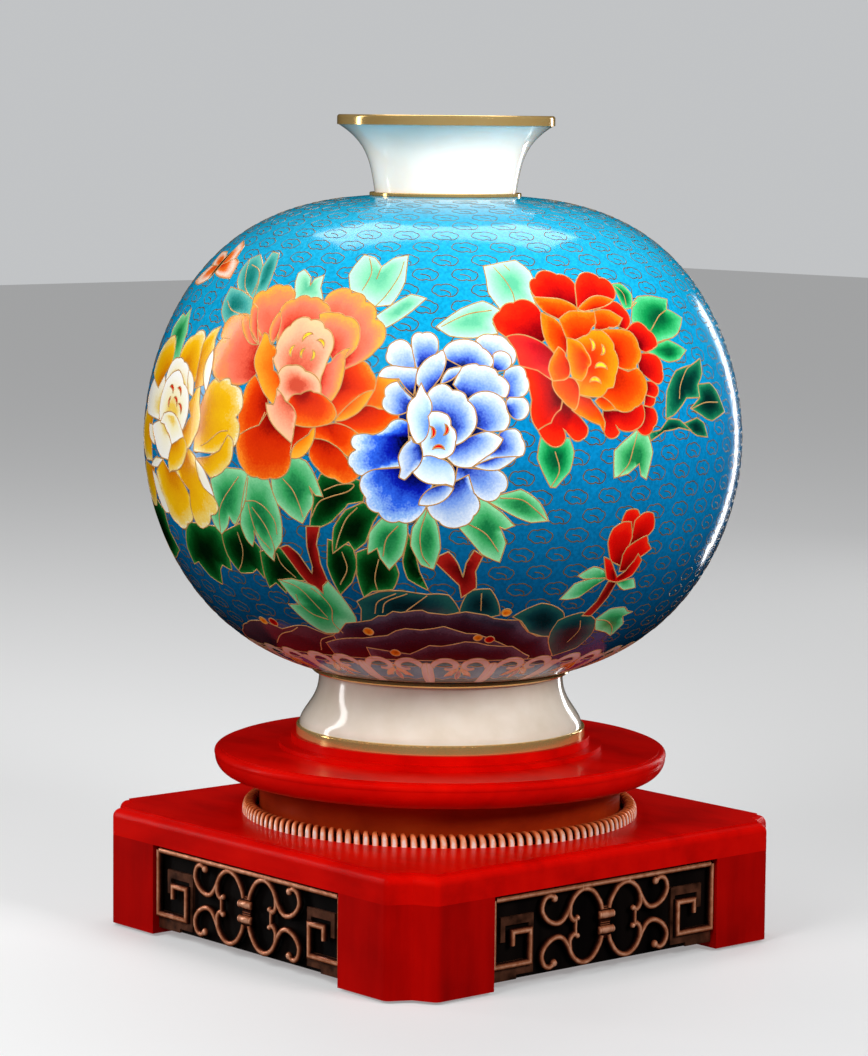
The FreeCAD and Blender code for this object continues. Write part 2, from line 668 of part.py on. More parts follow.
def backing(index):
    """Dark strips behind each square spiral, with a stepped ledge below it."""
    pieces = []
    strip = BAR_WIDTH
    low = PANEL_BOTTOM - LEDGE_DROP
    high = PANEL_BOTTOM + FRET_RISE + BACKING_BAND + BACKING_OVERHANG
    for side in (-1, 1):
        outer = side * PANEL_HALF
        inner = side * (PANEL_HALF - FRET_WIDTH - BACKING_OVERHANG)
        hook = inner + side * (FRET_HOOK + 2 * BACKING_OVERHANG + strip)
        step = side * FRET_WIDTH / 3
        shapes = [
            (outer, outer - 2 * step, low, PANEL_BOTTOM + strip),
            (outer - 2 * step, inner, low + LEDGE_DROP / 3, PANEL_BOTTOM + strip),
            (inner, inner + side * strip, PANEL_BOTTOM, high),
            (inner, hook, high - BACKING_BAND, high),
            (hook, hook - side * strip, high - BACKING_BAND - FRET_TIP, high),
        ]
        pieces.append(fused([panel_block(*shape, PANEL_REAR, BACKING_REAR) for shape in shapes]))
    return quarter_turn(Part.makeCompound(pieces), index)


def apron(index):
    board_shape = box(-PANEL_HALF, PANEL_HALF, -BACKING_REAR, -APRON_REAR, APRON_CLEARANCE, BOARD_UNDERSIDE)
    return quarter_turn(board_shape, index)


def foot_pads():
    return [cylinder(PAD_RADIUS, 0, PAD_THICKNESS, x, y) for x, y in corner_centres()]


def base_nodes():
    lower_screws = screws(LOWER_RACE_TOP, -1, SCREW_BITE_LOWER, 0.0)
    dowels = leg_dowels()
    nodes = {
        "top_board": board().cut(lower_screws + dowels),
        "gadrooned_ring": gadrooned_ring(),
        "bearing_race_lower": race(POCKET_FLOOR).cut(lower_screws),
        "race_screws_lower": Part.makeCompound(lower_screws),
        "bearing_balls": Part.makeCompound(balls()),
        "pivot_bolt": pivot_bolt(),
        "pivot_washer": tube(BOLT_RADIUS, WASHER_RADIUS, washer_base(), washer_base() + WASHER_THICKNESS),
        "pivot_nut": pivot_nut(),
        "leg_dowels": Part.makeCompound(dowels),
        "foot_pads": Part.makeCompound(foot_pads()),
    }
    for index, side in enumerate(SIDES):
        nodes["leg_" + side] = leg(index).cut(dowels)
        nodes["apron_" + side] = apron(index)
        nodes["openwork_" + side] = openwork_panel(index)
        nodes["backing_" + side] = backing(index)
    return nodes


def main():
    os.makedirs("parts", exist_ok=True)
    nodes = {**vase_nodes(), **turntable_nodes(), **base_nodes()}
    for name, shape in nodes.items():
        shape.exportStep("parts/" + name + ".step")
        facts = (name, len(shape.Solids), shape.isValid(), shape.Volume)
        print("%-20s solids %2d valid %s volume %.1f" % facts)


main()
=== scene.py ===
import math

import bmesh
import bpy
import numpy as np
from mathutils import Matrix, Vector
from mathutils.geometry import delaunay_2d_cdt


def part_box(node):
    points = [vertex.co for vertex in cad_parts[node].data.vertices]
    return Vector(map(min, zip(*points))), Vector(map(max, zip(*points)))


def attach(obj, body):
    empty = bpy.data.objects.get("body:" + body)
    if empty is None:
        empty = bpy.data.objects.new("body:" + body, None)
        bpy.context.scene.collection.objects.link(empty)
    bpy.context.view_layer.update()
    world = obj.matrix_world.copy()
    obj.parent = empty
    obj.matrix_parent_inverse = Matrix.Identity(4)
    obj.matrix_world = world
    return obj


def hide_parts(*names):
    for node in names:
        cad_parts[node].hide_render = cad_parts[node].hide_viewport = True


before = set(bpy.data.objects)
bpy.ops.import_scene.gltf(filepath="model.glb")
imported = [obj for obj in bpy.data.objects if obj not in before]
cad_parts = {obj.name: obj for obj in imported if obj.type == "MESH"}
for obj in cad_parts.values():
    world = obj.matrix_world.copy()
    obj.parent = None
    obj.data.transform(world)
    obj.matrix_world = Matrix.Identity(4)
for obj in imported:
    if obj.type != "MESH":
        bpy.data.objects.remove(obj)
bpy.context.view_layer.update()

# Cloisonne vase on a turntable stand, around the CAD frame.
# Lengths here are millimetres; MM turns them into metres.
MM = 0.001
SIDES = ("front", "right", "rear", "left")
BODY_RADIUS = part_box("body_enamel")[1][0] / MM
NECK_RING_HEIGHT = 1.0
NECK_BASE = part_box("neck_ring")[1][2] / MM - NECK_RING_HEIGHT
NECK_RADIUS = 23.4
RISE, RISE_POWERS = 81.1, (3.2, 1.86)       # widest circle to the upper pole; powers of radius and height
DROP, DROP_POWERS = 80.9, (2.86, 1.9)       # the same to the lower pole
WIDEST = NECK_BASE - RISE * (1.0 - (NECK_RADIUS / BODY_RADIUS) ** RISE_POWERS[0]) ** (1.0 / RISE_POWERS[1])
FACING = math.radians(-40.76)   # direction from the axis to the middle of the painted scene
U_RADIUS = 100.0                # u counts arc length on a circle of this radius
TURN = 2.0 * U_RADIUS * math.pi

# ---- the body's surface: u runs round it along the widest circle, v up along its profile


def profile(extent, powers, side):
    """Arc length, radius, height and outward normal of one half, from the widest circle to the pole."""
    angle = np.linspace(np.pi / 2, 0.0, 8001)
    radius = BODY_RADIUS * np.sin(angle) ** (2.0 / powers[0])
    height = extent * np.maximum(np.cos(angle), 0.0) ** (2.0 / powers[1])
    run = np.concatenate([[0.0], np.cumsum(np.hypot(np.diff(radius), np.diff(height)))])
    slope_r = powers[0] / BODY_RADIUS * (radius / BODY_RADIUS) ** (powers[0] - 1.0)
    slope_z = powers[1] / extent * (height / extent) ** (powers[1] - 1.0)
    size = np.hypot(slope_r, slope_z)
    return np.stack([side * run, radius, WIDEST + side * height, slope_r / size, side * slope_z / size])


PROFILE = np.concatenate(
    [profile(DROP, DROP_POWERS, -1.0)[:, ::-1], profile(RISE, RISE_POWERS, 1.0)[:, 1:]], axis=1)


def across_profile(v):
    """Radius, height and outward normal at a place on the profile."""
    return [np.interp(v, PROFILE[0], row) for row in PROFILE[1:]]


def on_body(u, v, lift=0.0):
    """Points in metres, lift millimetres outside the enamel's surface."""
    radius, height, normal_r, normal_z = across_profile(v)
    angle = FACING + np.asarray(u) / U_RADIUS
    reach = radius + lift * normal_r
    return np.stack([reach * np.cos(angle), reach * np.sin(angle), height + lift * normal_z], axis=-1) * MM


def body_normal(u, v):
    _, _, normal_r, normal_z = across_profile(v)
    angle = FACING + np.asarray(u) / U_RADIUS
    return np.stack([normal_r * np.cos(angle), normal_r * np.sin(angle), normal_z], axis=-1)


def v_at_radius(radius, side):
    """Arc length from the widest circle to a smaller one above (side 1) or below (side -1)."""
    half = PROFILE[:, PROFILE[0] * side >= 0]
    order = np.argsort(half[1])
    return float(np.interp(radius, half[1][order], half[0][order]))


# ---- colours and materials


def colour(code):
    """Linear RGBA of an sRGB hex code."""
    values = [int(code[i:i + 2], 16) / 255.0 for i in (0, 2, 4)]
    return [v / 12.92 if v <= 0.04045 else ((v + 0.055) / 1.055) ** 2.4 for v in values] + [1.0]


def new_material(name, **sockets):
    material = bpy.data.materials.new(name)
    material.use_nodes = True
    shader = material.node_tree.nodes["Principled BSDF"]
    for key, value in sockets.items():
        shader.inputs[key.replace("_", " ")].default_value = value
    return material, material.node_tree, shader


def add_ramp(tree, stops, factor):
    """Colour ramp; stops is 'position code position code ...'."""
    ramp = tree.nodes.new("ShaderNodeValToRGB")
    words = stops.split()
    pairs = list(zip(words[::2], words[1::2]))
    while len(ramp.color_ramp.elements) < len(pairs):
        ramp.color_ramp.elements.new(0.5)
    for element, (position, code) in zip(ramp.color_ramp.elements, pairs):
        element.position = float(position)
        element.color = colour(code)
    tree.links.new(factor, ramp.inputs["Fac"])
    return ramp.outputs["Color"]


def add_noise(tree, scale, detail=3.0, stretch=None, roughness=0.5):
    """Noise in object space, so that it stays with the piece."""
    place = tree.nodes.new("ShaderNodeTexCoord").outputs["Object"]
    if stretch:
        mapping = tree.nodes.new("ShaderNodeMapping")
        mapping.inputs["Scale"].default_value = stretch
        tree.links.new(place, mapping.inputs["Vector"])
        place = mapping.outputs["Vector"]
    noise = tree.nodes.new("ShaderNodeTexNoise")
    for key, value in (("Scale", scale), ("Detail", detail), ("Roughness", roughness)):
        noise.inputs[key].default_value = value
    tree.links.new(place, noise.inputs["Vector"])
    return noise.outputs["Fac"]


def add_math(tree, operation, first, second):
    node = tree.nodes.new("ShaderNodeMath")
    node.operation = operation
    for socket, value in zip(node.inputs, (first, second)):
        if isinstance(value, (int, float)):
            socket.default_value = value
        else:
            tree.links.new(value, socket)
    return node.outputs[0]


def add_drift(tree, tone, amount, scale, detail):
    """A tone that wanders by a share of the noise's swing about its middle."""
    swing = add_math(tree, "SUBTRACT", add_noise(tree, scale, detail), 0.5)
    return add_math(tree, "ADD", tone, add_math(tree, "MULTIPLY", swing, amount))


def add_bump(tree, shader, height, strength, distance):
    bump = tree.nodes.new("ShaderNodeBump")
    bump.inputs["Strength"].default_value = strength
    bump.inputs["Distance"].default_value = distance
    tree.links.new(height, bump.inputs["Height"])
    tree.links.new(bump.outputs["Normal"], shader.inputs["Normal"])


def piece_tone(tree):
    """The tone that a piece's points carry."""
    node = tree.nodes.new("ShaderNodeAttribute")
    node.attribute_name = "tone"
    return node.outputs["Fac"]


def enamel_cell(name, stops):
    """Painted enamel: its colour runs from a petal's root (0) to its rim (1) with a watery edge."""
    material, tree, shader = new_material(
        name, Roughness=0.16, Specular_IOR_Level=0.22, Coat_Weight=0.12, Coat_Roughness=0.04)
    tone = add_drift(tree, add_drift(tree, piece_tone(tree), 0.48, 140.0, 4.0), 0.3, 1500.0, 2.0)
    tree.links.new(add_ramp(tree, stops, tone), shader.inputs["Base Color"])
    return material


def ground_enamel():
    """Turquoise ground with painted shade: it darkens to deep blue towards the bottom, under the belly, and
    has the fine mottle of fired enamel.
    """
    material, tree, shader = new_material(
        "turquoise_ground", Roughness=0.14, Specular_IOR_Level=0.25, Coat_Weight=0.15, Coat_Roughness=0.04)
    split = tree.nodes.new("ShaderNodeSeparateXYZ")
    tree.links.new(tree.nodes.new("ShaderNodeTexCoord").outputs["Object"], split.inputs[0])
    # metres: where the painted shade's deepest blue ends, and from there up to the palest turquoise
    low, depth = 0.087, 0.162
    # painted shade: the lower the point, the darker its blue
    level = add_math(tree, "MULTIPLY", add_math(tree, "SUBTRACT", split.outputs["Z"], low), 1.0 / depth)
    base = add_ramp(tree, "0 032c48 .25 045888 .55 0482bc .8 0ca0d0 1 28b4dc",
                    add_drift(tree, level, 0.16, 35.0, 3.0))
    speck = add_ramp(tree, ".35 dedede .65 ffffff", add_noise(tree, 900.0, 3.0))
    mix = tree.nodes.new("ShaderNodeMix")
    mix.data_type = "RGBA"
    mix.blend_type = "MULTIPLY"
    mix.inputs[0].default_value = 1.0
    tree.links.new(base, mix.inputs[6])
    tree.links.new(speck, mix.inputs[7])
    tree.links.new(mix.outputs[2], shader.inputs["Base Color"])
    return material


def mottled(name, stops, scale, detail=4.0, stretch=None, bump=None, **sockets):
    """A material whose colour wanders along a ramp; bump is (strength, distance) of the same noise."""
    material, tree, shader = new_material(name, **sockets)
    noise = add_noise(tree, scale, detail, stretch)
    tree.links.new(add_ramp(tree, stops, noise), shader.inputs["Base Color"])
    if bump:
        add_bump(tree, shader, noise, *bump)
    return material


def lacquer(name, stops, grain):
    """Red lacquer over wood: faint grain and a slightly uneven gloss."""
    material, tree, shader = new_material(
        name, Roughness=0.36, Specular_IOR_Level=0.06, Coat_Weight=0.04, Coat_Roughness=0.1)
    streak = add_noise(tree, 90.0, 5.0, stretch=grain, roughness=0.6)
    mottle = add_noise(tree, 45.0, 4.0)
    tone = add_math(
        tree, "ADD", add_math(tree, "MULTIPLY", streak, 0.6), add_math(tree, "MULTIPLY", mottle, 0.4))
    tree.links.new(add_ramp(tree, stops, tone), shader.inputs["Base Color"])
    add_bump(tree, shader, streak, 0.12, 0.0006)
    return material


def patina_and_painted_light(name, stops, roughness, metallic):
    """Antique metal whose colour follows the piece's tone: dark patina with painted shade in its hollows and
    on its sides, rubbed metal with a painted highlight on its crowns.
    """
    material, tree, shader = new_material(name, Metallic=metallic, Roughness=roughness)
    shine = add_drift(tree, piece_tone(tree), 0.4, 500.0, 4.0)
    tree.links.new(add_ramp(tree, stops, shine), shader.inputs["Base Color"])
    add_bump(tree, shader, add_noise(tree, 900.0, 3.0), 0.15, 0.0003)
    return material


UPRIGHT_GRAIN = (1.0, 1.0, 0.12)
GLAZE = {"Roughness": 0.12, "Coat_Weight": 0.6, "Coat_Roughness": 0.04}
gold_wire = mottled("gold_wire", "0.2 c88c48 .8 f0c080", 400.0, Metallic=0.4, Roughness=0.3)
# painted shade: the clouds' wires are the same gilt as the scene's, painted darker to stand for shade
shaded_cloud_wire = mottled("cloud_wire", "0.2 4c3818 .8 947440", 400.0, Metallic=0.4, Roughness=0.3)
gilt = mottled("gilt", "0 f0bc68 1 fcdc98", 60.0, Metallic=0.74, Roughness=0.12)
turquoise = ground_enamel()
# painted light and shade: the board and disc take a brighter copy of the red lacquer for their lit tops, the
# legs a darker copy for their less lit upright faces
red_lit_top = lacquer("red_lacquer", "0.2 8c0100 .5 c00400 .8 d60c02", (0.4, 1.0, 1.0))
red_hub = lacquer("red_lacquer_hub", "0.2 701004 .5 982808 .8 b03810", (0.6, 0.6, 1.0))
red_shaded_upright = lacquer("red_lacquer_upright_shaded", "0.2 740000 .5 a40200 .8 c00601", UPRIGHT_GRAIN)
plain_wood = lacquer("plain_wood", "0.2 9c6c40 .5 b88856 .8 cca070", UPRIGHT_GRAIN)
# painted light: the ring's ramp runs from near-black patina and painted shade between its ribs to a
# near-white painted highlight on their crowns; the bars' ramp from painted shade on their sides to a pale
# painted highlight on their crowns
copper_ring = patina_and_painted_light("antique_copper", ".2 060303 .42 8c3010 .68 ec7840 .9 fcb48c 1 fff0e8", 0.24, 0.35)
copper_bars = patina_and_painted_light("antique_copper_bars", ".05 1c0c08 .45 602a1a .85 c4744e 1 fcb490", 0.26, 0.5)
dark_bronze = mottled("dark_bronze", ".3 2c1810 .7 84503a", 220.0, Metallic=0.6, Roughness=0.42)
# black-stained wood for the aprons, made darker still as painted shade for the dark hollow under the stand
# behind the openwork
black_wood = mottled("black_wood", ".3 040303 .7 120c0a", 120.0, stretch=(1.0, 1.0, 0.1),
                     Roughness=0.75, Specular_IOR_Level=0.2)
white_enamel = mottled("white_enamel", ".3 fcf0e2 .7 fef6ec", 90.0, Subsurface_Weight=0.15,
                       Subsurface_Radius=(0.004, 0.003, 0.002), **GLAZE)
# painted shade: the foot's white enamel is the neck's, painted darker for the shade that the belly casts on
# the foot
foot_enamel = mottled("foot_enamel", ".3 d2c6b4 .7 ded4c6", 90.0, **GLAZE)
counter_enamel = mottled("counter_enamel", ".3 0c4470 .7 1c6c98", 120.0, 5.0, Roughness=0.2, Coat_Weight=0.3)
copper = mottled("copper", "0.2 a4603c .8 d08c64", 180.0, Metallic=0.9, Roughness=0.32)
steel = mottled("steel", "0.2 8c9094 .8 c4c8cc", 300.0, Metallic=1.0, Roughness=0.26)
felt = mottled("felt", ".3 141416 .7 34343a", 1800.0, bump=(0.5, 0.0004), Roughness=0.95, Sheen_Weight=0.4)

# ---- mesh helpers


def finish_piece(name, verts, faces, materials, body, normals=None, tone=None, indices=None,
                 replaces=()):
    """A mesh object from metres, smooth shaded, riding on a body."""
    mesh = bpy.data.meshes.new(name)
    mesh.from_pydata([tuple(v) for v in np.asarray(verts).tolist()], [], [tuple(f) for f in faces])
    for material in materials:
        mesh.materials.append(material)
    mesh.polygons.foreach_set("use_smooth", np.ones(len(mesh.polygons), dtype=bool))
    if indices is not None:
        mesh.polygons.foreach_set("material_index", np.asarray(indices, dtype=np.int32))
    if tone is not None:
        layer = mesh.attributes.new("tone", "FLOAT", "POINT")
        layer.data.foreach_set("value", np.asarray(tone, dtype=np.float32))
    mesh.update()
    if normals is not None:
        mesh.normals_split_custom_set_from_vertices([tuple(n) for n in np.asarray(normals).tolist()])
    piece = bpy.data.objects.new(name, mesh)
    bpy.context.collection.objects.link(piece)
    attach(piece, body)
    if replaces:
        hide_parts(*replaces)
    return piece


def sharpen(piece, degrees):
    """Marks the edges that turn by more than an angle, so that they shade as edges."""
    work = bmesh.new()
    work.from_mesh(piece.data)
    for edge in work.edges:
        edge.smooth = len(edge.link_faces) == 2 and edge.calc_face_angle(0.0) < math.radians(degrees)
    work.to_mesh(piece.data)
    work.free()


def unit(vectors):
    """Directions of some vectors, with zero where a vector is zero."""
    size = np.linalg.norm(vectors, axis=1, keepdims=True)
    return np.where(size > 1e-9, vectors / np.maximum(size, 1e-9), 0.0)


def sweep(paths, half_width, section, place, closed=None, caps=False):
    """Bars along flat paths, all open unless closed says otherwise for each.

    section is (across, height, tone), across from 1 to -1; place maps arrays of x, y and height to points."""
    verts, faces, tones, count = [], [], [], 0
    across, height, shine = np.array(section).T
    for path, loop in zip(paths, closed or [False] * len(paths)):
        line = np.asarray(path, dtype=float)
        if len(line) < 2:
            continue
        before = np.roll(line, 1, axis=0) if loop else np.vstack([line[:1], line[:-1]])
        after = np.roll(line, -1, axis=0) if loop else np.vstack([line[1:], line[-1:]])
        first, second = unit(line - before), unit(after - line)
        along = unit(first + second)
        sure = np.where(np.abs(second).sum(axis=1, keepdims=True) > 0, second, first)
        mitre = 1.0 / np.maximum((along * sure).sum(axis=1), 0.6)
        side = np.stack([along[:, 1], -along[:, 0]], axis=1) * mitre[:, None] * half_width
        x = line[:, :1] + side[:, :1] * across
        y = line[:, 1:] + side[:, 1:] * across
        verts.append(place(x.ravel(), y.ravel(), np.broadcast_to(height, x.shape).ravel()))
        tones.append(np.broadcast_to(shine, x.shape).ravel())
        rows, columns = x.shape
        for i in range(rows if loop else rows - 1):
            a, b = count + i * columns, count + (i + 1) % rows * columns
            faces += [(a + k, b + k, b + k + 1, a + k + 1) for k in range(columns - 1)]
        if caps and not loop:
            last = count + (rows - 1) * columns
            faces.append(tuple(range(count, count + columns)))
            faces.append(tuple(range(last + columns - 1, last - 1, -1)))
        count += rows * columns
    return np.concatenate(verts), faces, np.concatenate(tones)


def grid_faces(rows, columns, loop):
    """Quads of a net of points numbered row by row; with loop, its last row joins its first."""
    pairs = [(i * columns, (i + 1) % rows * columns) for i in range(rows if loop else rows - 1)]
    return [(a + k, b + k, b + k + 1, a + k + 1) for a, b in pairs for k in range(columns - 1)]


# ---- the painted scene. Each line is a style and its outline: x,y or x,y,bulge for each corner,
# with the bulge of the stretch that follows it, outward positive. A line that starts with two spaces goes on
# with the one before. Later outlines lie in front.

LEAVES = """
slate 6.5,-51,.1 9.5,-42.2,.1 17,-41.5,.15 22,-52 14,-54
slate 27,-53,.1 37,-47.6,.15 47.5,-52,.1 50,-58 46,-64 36,-60.5 31,-55
slate 46.5,-55.5,.1 56,-52.5,.1 64.5,-56.5,.1 67.5,-63,.1 65,-71 55,-75 48,-69,.05 45.5,-61,.05
slate -31,-47.3,.05 -22,-43,.05 -14,-42.4 -5,-43.6,.1 2.5,-43.8,.1 6.8,-50.5 0,-53 -20,-53 -31.5,-56.5
  -30,-50.5
wire -5,-44 -13,-50.5
wire -12,-43.5 -20,-47 -22,-51.5
wire -16,-43.5 -23,-47 -25,-52
wire 14,-43 14.5,-50
wire 57,-56 59,-61 57,-67
light 64.5,-56,.05 69,-52,.05 77,-52 80,-54 83.6,-54.6 79,-56.2 83,-60,.05 80.8,-65.8 75,-63.3 68,-61.5,.1
wire 65,-56.5 71,-57.5 77,-61 80.5,-65
dark -82,-24 -100,-24 -104.5,-27,.05 -109,-34 -109,-40 -104,-38.6,.05 -100,-43.5,.05 -93.5,-46,.05 -90,-40
  -87.5,-38,.05 -83,-39.5,.05 -81.5,-33
dark -82,-26,.1 -82.3,-34,.1 -78.5,-40,.05 -72,-39.3 -69.5,-37.8 -67.3,-41 -65,-35,.05 -65,-30 -72,-22
wire -74,-25 -73.5,-31 -76,-36 -79.5,-39.5
dark -65.5,-31 -66.5,-38,.05 -66.5,-44.5 -62.5,-42.3 -59.5,-46 -56,-41 -46,-40 -50,-34 -57,-29
wire -58.5,-31 -57.5,-35 -53,-39.5
dark -121,-22 -122,-30,.05 -119,-36 -127,-39,.05 -137,-41 -146,-38,.05 -150,-28 -143,-20 -128,-19
dark -39,-4 -42,-10 -42.5,-15 -44,-21.5,.05 -41.5,-21.5,.05 -36,-19 -34,-17,.05 -30,-13 -25,-12 -24,-6
  -34,-3
wire -38,-9 -33,-7 -28,-6.7 -30,-9 -36,-11 -40,-13 -43,-18
dark -38,-25 -39.6,-34,.05 -38,-41.5 -36.8,-45 -31.5,-40,.05 -28.5,-33 -29.5,-27
wire -33.5,-29 -32.5,-35 -36,-41
dark -28.5,-29 -29.3,-37,.05 -28,-45.5 -24.5,-43 -17,-42,.1 -14.5,-36,.05 -16,-31 -21,-26
wire -21,-31 -23,-38 -22.5,-43
dark -25,-12.2 -31,-15,.05 -35.5,-21,.05 -36.8,-29.8 -33,-27 -30.8,-25.6 -29,-28.6 -25,-25.5 -22,-18.5
  -20,-15.5
wire -27,-14 -31,-18 -34,-24 -35.5,-28
dark -10.8,-22 -13,-31,.1 -11.5,-38,.05 -4.6,-42 -7.5,-35 -9.2,-26
trunk -56.5,-29,.05 -53.5,-28,.1 -49.5,-31 -46,-37.5 -45.3,-35 -46,-28 -45.2,-21 -40.3,-20.8 -42.3,-27,.05
  -42,-33.5 -40.5,-40 -43.3,-45.5 -48.5,-41.5,.05 -53,-34.5
trunk -1,-29.5 2,-28,.1 5.5,-32.5 7.2,-37 8,-32 10.5,-27.5 13.5,-29.5 11.3,-35,.05 12,-41 7,-44.8 6,-40
  -2,-32
light -69,-4 -76,-4,.05 -83.5,-8.5 -82.5,-14 -85.8,-20.5 -85,-23.5,.1 -82,-26.5 -78.5,-23.8,.1 -76.4,-20
  -75.6,-21.8,.1 -73.8,-22.8 -70.5,-19.5,.05 -67,-12 -66,-5
wire -82.5,-25.5 -80,-17 -70,-6.5
wire -74.5,-23 -68.5,-15 -66,-6.5
light -57,-5 -56.5,-13 -51,-17.8,.05 -46.3,-20.2 -44.3,-17 -42.3,-14.3,.05 -41.7,-11.5 -43,-8 -41,-10.8
  -38.4,-11 -40.5,-5.5,.1 -44,0 -50,2
wire -52.5,-6 -49,-9.5 -47,-14 -46,-18
light -66,-5 -70,-16 -71.8,-22,.05 -70.6,-27,.1 -68.3,-29.5 -66.6,-26.5 -66.2,-23.8 -64.8,-29,.1 -60.3,-34
  -59,-30.5 -55.5,-27,.1 -54.3,-19,.1 -56,-12 -58,-6
wire -68,-14.3 -64,-14 -60,-16 -57,-20 -56.8,-24.5
wire -67,-15 -66.5,-19 -65,-25 -60.7,-30
wire -65.5,-16 -61,-22 -59,-29 -60.5,-33
light -12,-17 -19,-17,.05 -23.5,-22,.05 -24.6,-29.4 -21.3,-27.3 -20.6,-30.5 -17.7,-34.8 -13,-29.5,.05
  -11,-22 -11,-17
wire -14,-19.5 -18,-24 -19.5,-30
light -5,-13 -9.5,-20,.05 -10.2,-26,.05 -7,-32.6,.05 -2.7,-34.2 -.5,-27,.05 -1.5,-19,.05 -4.5,-13
wire -4.8,-14 -7,-22 -6.5,-29 -4,-33
light 5,-19.5 8,-23 13,-28.8,.05 19.3,-31.7 20.8,-25,.05 18.3,-19.6 20,-20.5 23.2,-19.3 19,-15 12,-10 8,-14
wire 8,-18.5 14,-22 18.5,-28
light 17,-9.5 24.5,-7.6,.1 31,-12,.05 34.4,-18 28.5,-18.4,.05 21,-15.2 14,-11.3
wire 18,-10.3 25,-11 30,-14.5 34,-18
mid 31,9,.05 29.6,2,.05 34.2,-7.2 36,-7.3 40.5,-2.5,.05 42,3.5,.05 40.5,8
wire 35.5,4 37,-2 34.5,-7
light 63,8,.05 56.5,3.5,.05 56.6,-5 62,-4 66.4,-1 67.3,-4.8 69.8,-6.2 72.2,2.5,.05 70,9 66,10
wire 66,9 64,4 62,-1 58,-4.8
dteal 87,10.5 95.5,12,.05 99.8,10 101.6,5.4 95,6.3,.05 90,8.8
dteal 70.5,8.5 76,9.2 80,12.5,.05 86,11.8 92,8 85,9.4,.05 78,8.8 71.5,6
dteal 79,12.5,.05 81,21,.1 88,27.6,.05 98,29 105.3,30.9 104,26,.05 99.5,22.6 99,18.3 91,18.6,.05 83,13.5
wire 87,18.5 89,23 94,27.5 98,29
dteal 99.3,22.6 108,22.6,.1 113,19 117,12.6 106,10.4,.1 99,12.5 92.5,15.2 99,18.3
wire 93,15 102,16.5 112,16
mid 70.5,58.5,.1 75.5,58.6,.15 78.4,54.5,.1 75,49.5 71,49
wire 71,58.5 74,55 73,50.5
mid 75.5,34.3 80,36.5 88,38,.05 97.5,34 92,31.3,.05 85,30.6,.05 80,32.5
mid 73,46 76,50.5,.05 81,53.5,.05 90,53.5 99,52 95,48.5,.05 103,45,.05 96,40,.1 86,38,.05 78,37 72,42
wire 75,49.5 79,51.5
wire 80,41 88,46 94,48
pale 20,50 16.5,55.5,.05 16.3,61 15.8,66.3 24,68 30,69,.1 35,64,.05 35.5,60 33,56 34,51 26,51
wire 20,66 23.5,61 25.7,56 26,52.5
wire 24.5,67 26.5,64.5
pale -2.8,43.7,.05 6,50,.05 14,52.8,.1 20,49.5 17,45 18.5,41.5 10,40,.05 2,40.6,.05
wire -1,43.8 8,48 17,49.5
teal -97,66.5,.1 -92,69,.05 -83,63.4 -79,56,.05 -78.5,50.8 -86,52,.05 -94,57.5,.1 -97,63
wire -97,67 -91,60 -86,55 -79,51.2
wire -92,64.5 -85,62.5 -81,58 -80.5,53
teal -85,70.6 -80,70,.1 -75.3,62,.05 -73.6,54.6 -78.2,51.2 -80,57,.05 -84,64
teal -96,55.2 -88,54.3,.05 -78,51 -76,45 -84,45 -88,41.8 -93,45.5,.1 -95.5,50.5
wire -93,50 -88,47 -80,45.5
pale -24.5,47 -19.5,50.7,.05 -12.5,55,.05 -6.6,53.6 -11,49.5,.05 -20.3,43
pale -36.3,56.2 -38.8,62,.1 -35.3,70.7 -30,69.5,.05 -26,65.6 -22,69.3,.05 -15.7,70.8 -15.2,60,.1 -19.5,51
  -25,50.3 -29.3,53 -31,54.5
wire -32.5,69.5 -29.7,64 -30,60 -31.5,56
wire -26,65.5 -26.8,60.5
wire -17,68 -18,62 -21.5,55 -25,50.5
pale -58.3,52 -61.5,58.5 -62.2,62 -60.2,63.6,.05 -54.8,60.2 -53.8,57.2 -53.3,60,.05 -49.5,61.5
  -48.8,56.5,.05 -45.8,51.5 -52,52
light -130,38,.1 -125.5,43.8,.05 -121.5,43 -119,46 -112.5,38.5,.05 -111,28 -117,27 -120,34 -128,34.5
"""

ROCKS = """
maroon -116,-76 -116,-73,.1 -105,-67,.1 -95,-63,.1 -87,-60.8 -80,-60 -72,-63 -65,-61,.1 -57,-60 -50,-63
  -46,-63.5 -46,-76
wire -85,-72 -75,-66 -67,-63.5 -62,-61
wire -58,-73 -54,-67 -50,-65 -46,-63.7
rock -46,-63.5,.1 -42,-61,.1 -38,-56.5 -33,-56.3 -27,-55 -24,-53 -21,-52.8 -18,-50.8 -15,-51.2 -10,-50.2
  -7,-50 -5,-51 2,-51.8 9,-50.5 17,-52 20,-53.5 25,-54.3 30,-54.5 32,-57 35,-60 40,-62.5 45.5,-63 47,-66
  50,-70 54,-74 54,-76 -46,-76
rock -52,-76 -52,-68,.1 -33,-64 -28,-63 -22,-62 -18,-59.5 -14,-58.3 -8,-58.8 -3,-58 1,-57 5,-58.5 10,-60.3
  14,-60.5 20,-63 30,-68 30,-76
rock -33,-76 -33,-69 -14,-72 -8,-68.5 -5,-66.7 0,-67 5,-66 10,-64.5 15,-65 20,-66.5 26,-67.3 31,-67.5 35,-70
  38,-72 42,-74 42,-76
"""

# x, y, size and style of each
PEBBLES = """
-29.5,-60.5,3.1,knot -20.5,-71.5,3.4,knot 15,-62.5,2.7,knot 24.3,-51,2.8,knot
-80.5,-60,3,knot -74.5,-60,3.2,bud 20,-63.5,3,bud
"""

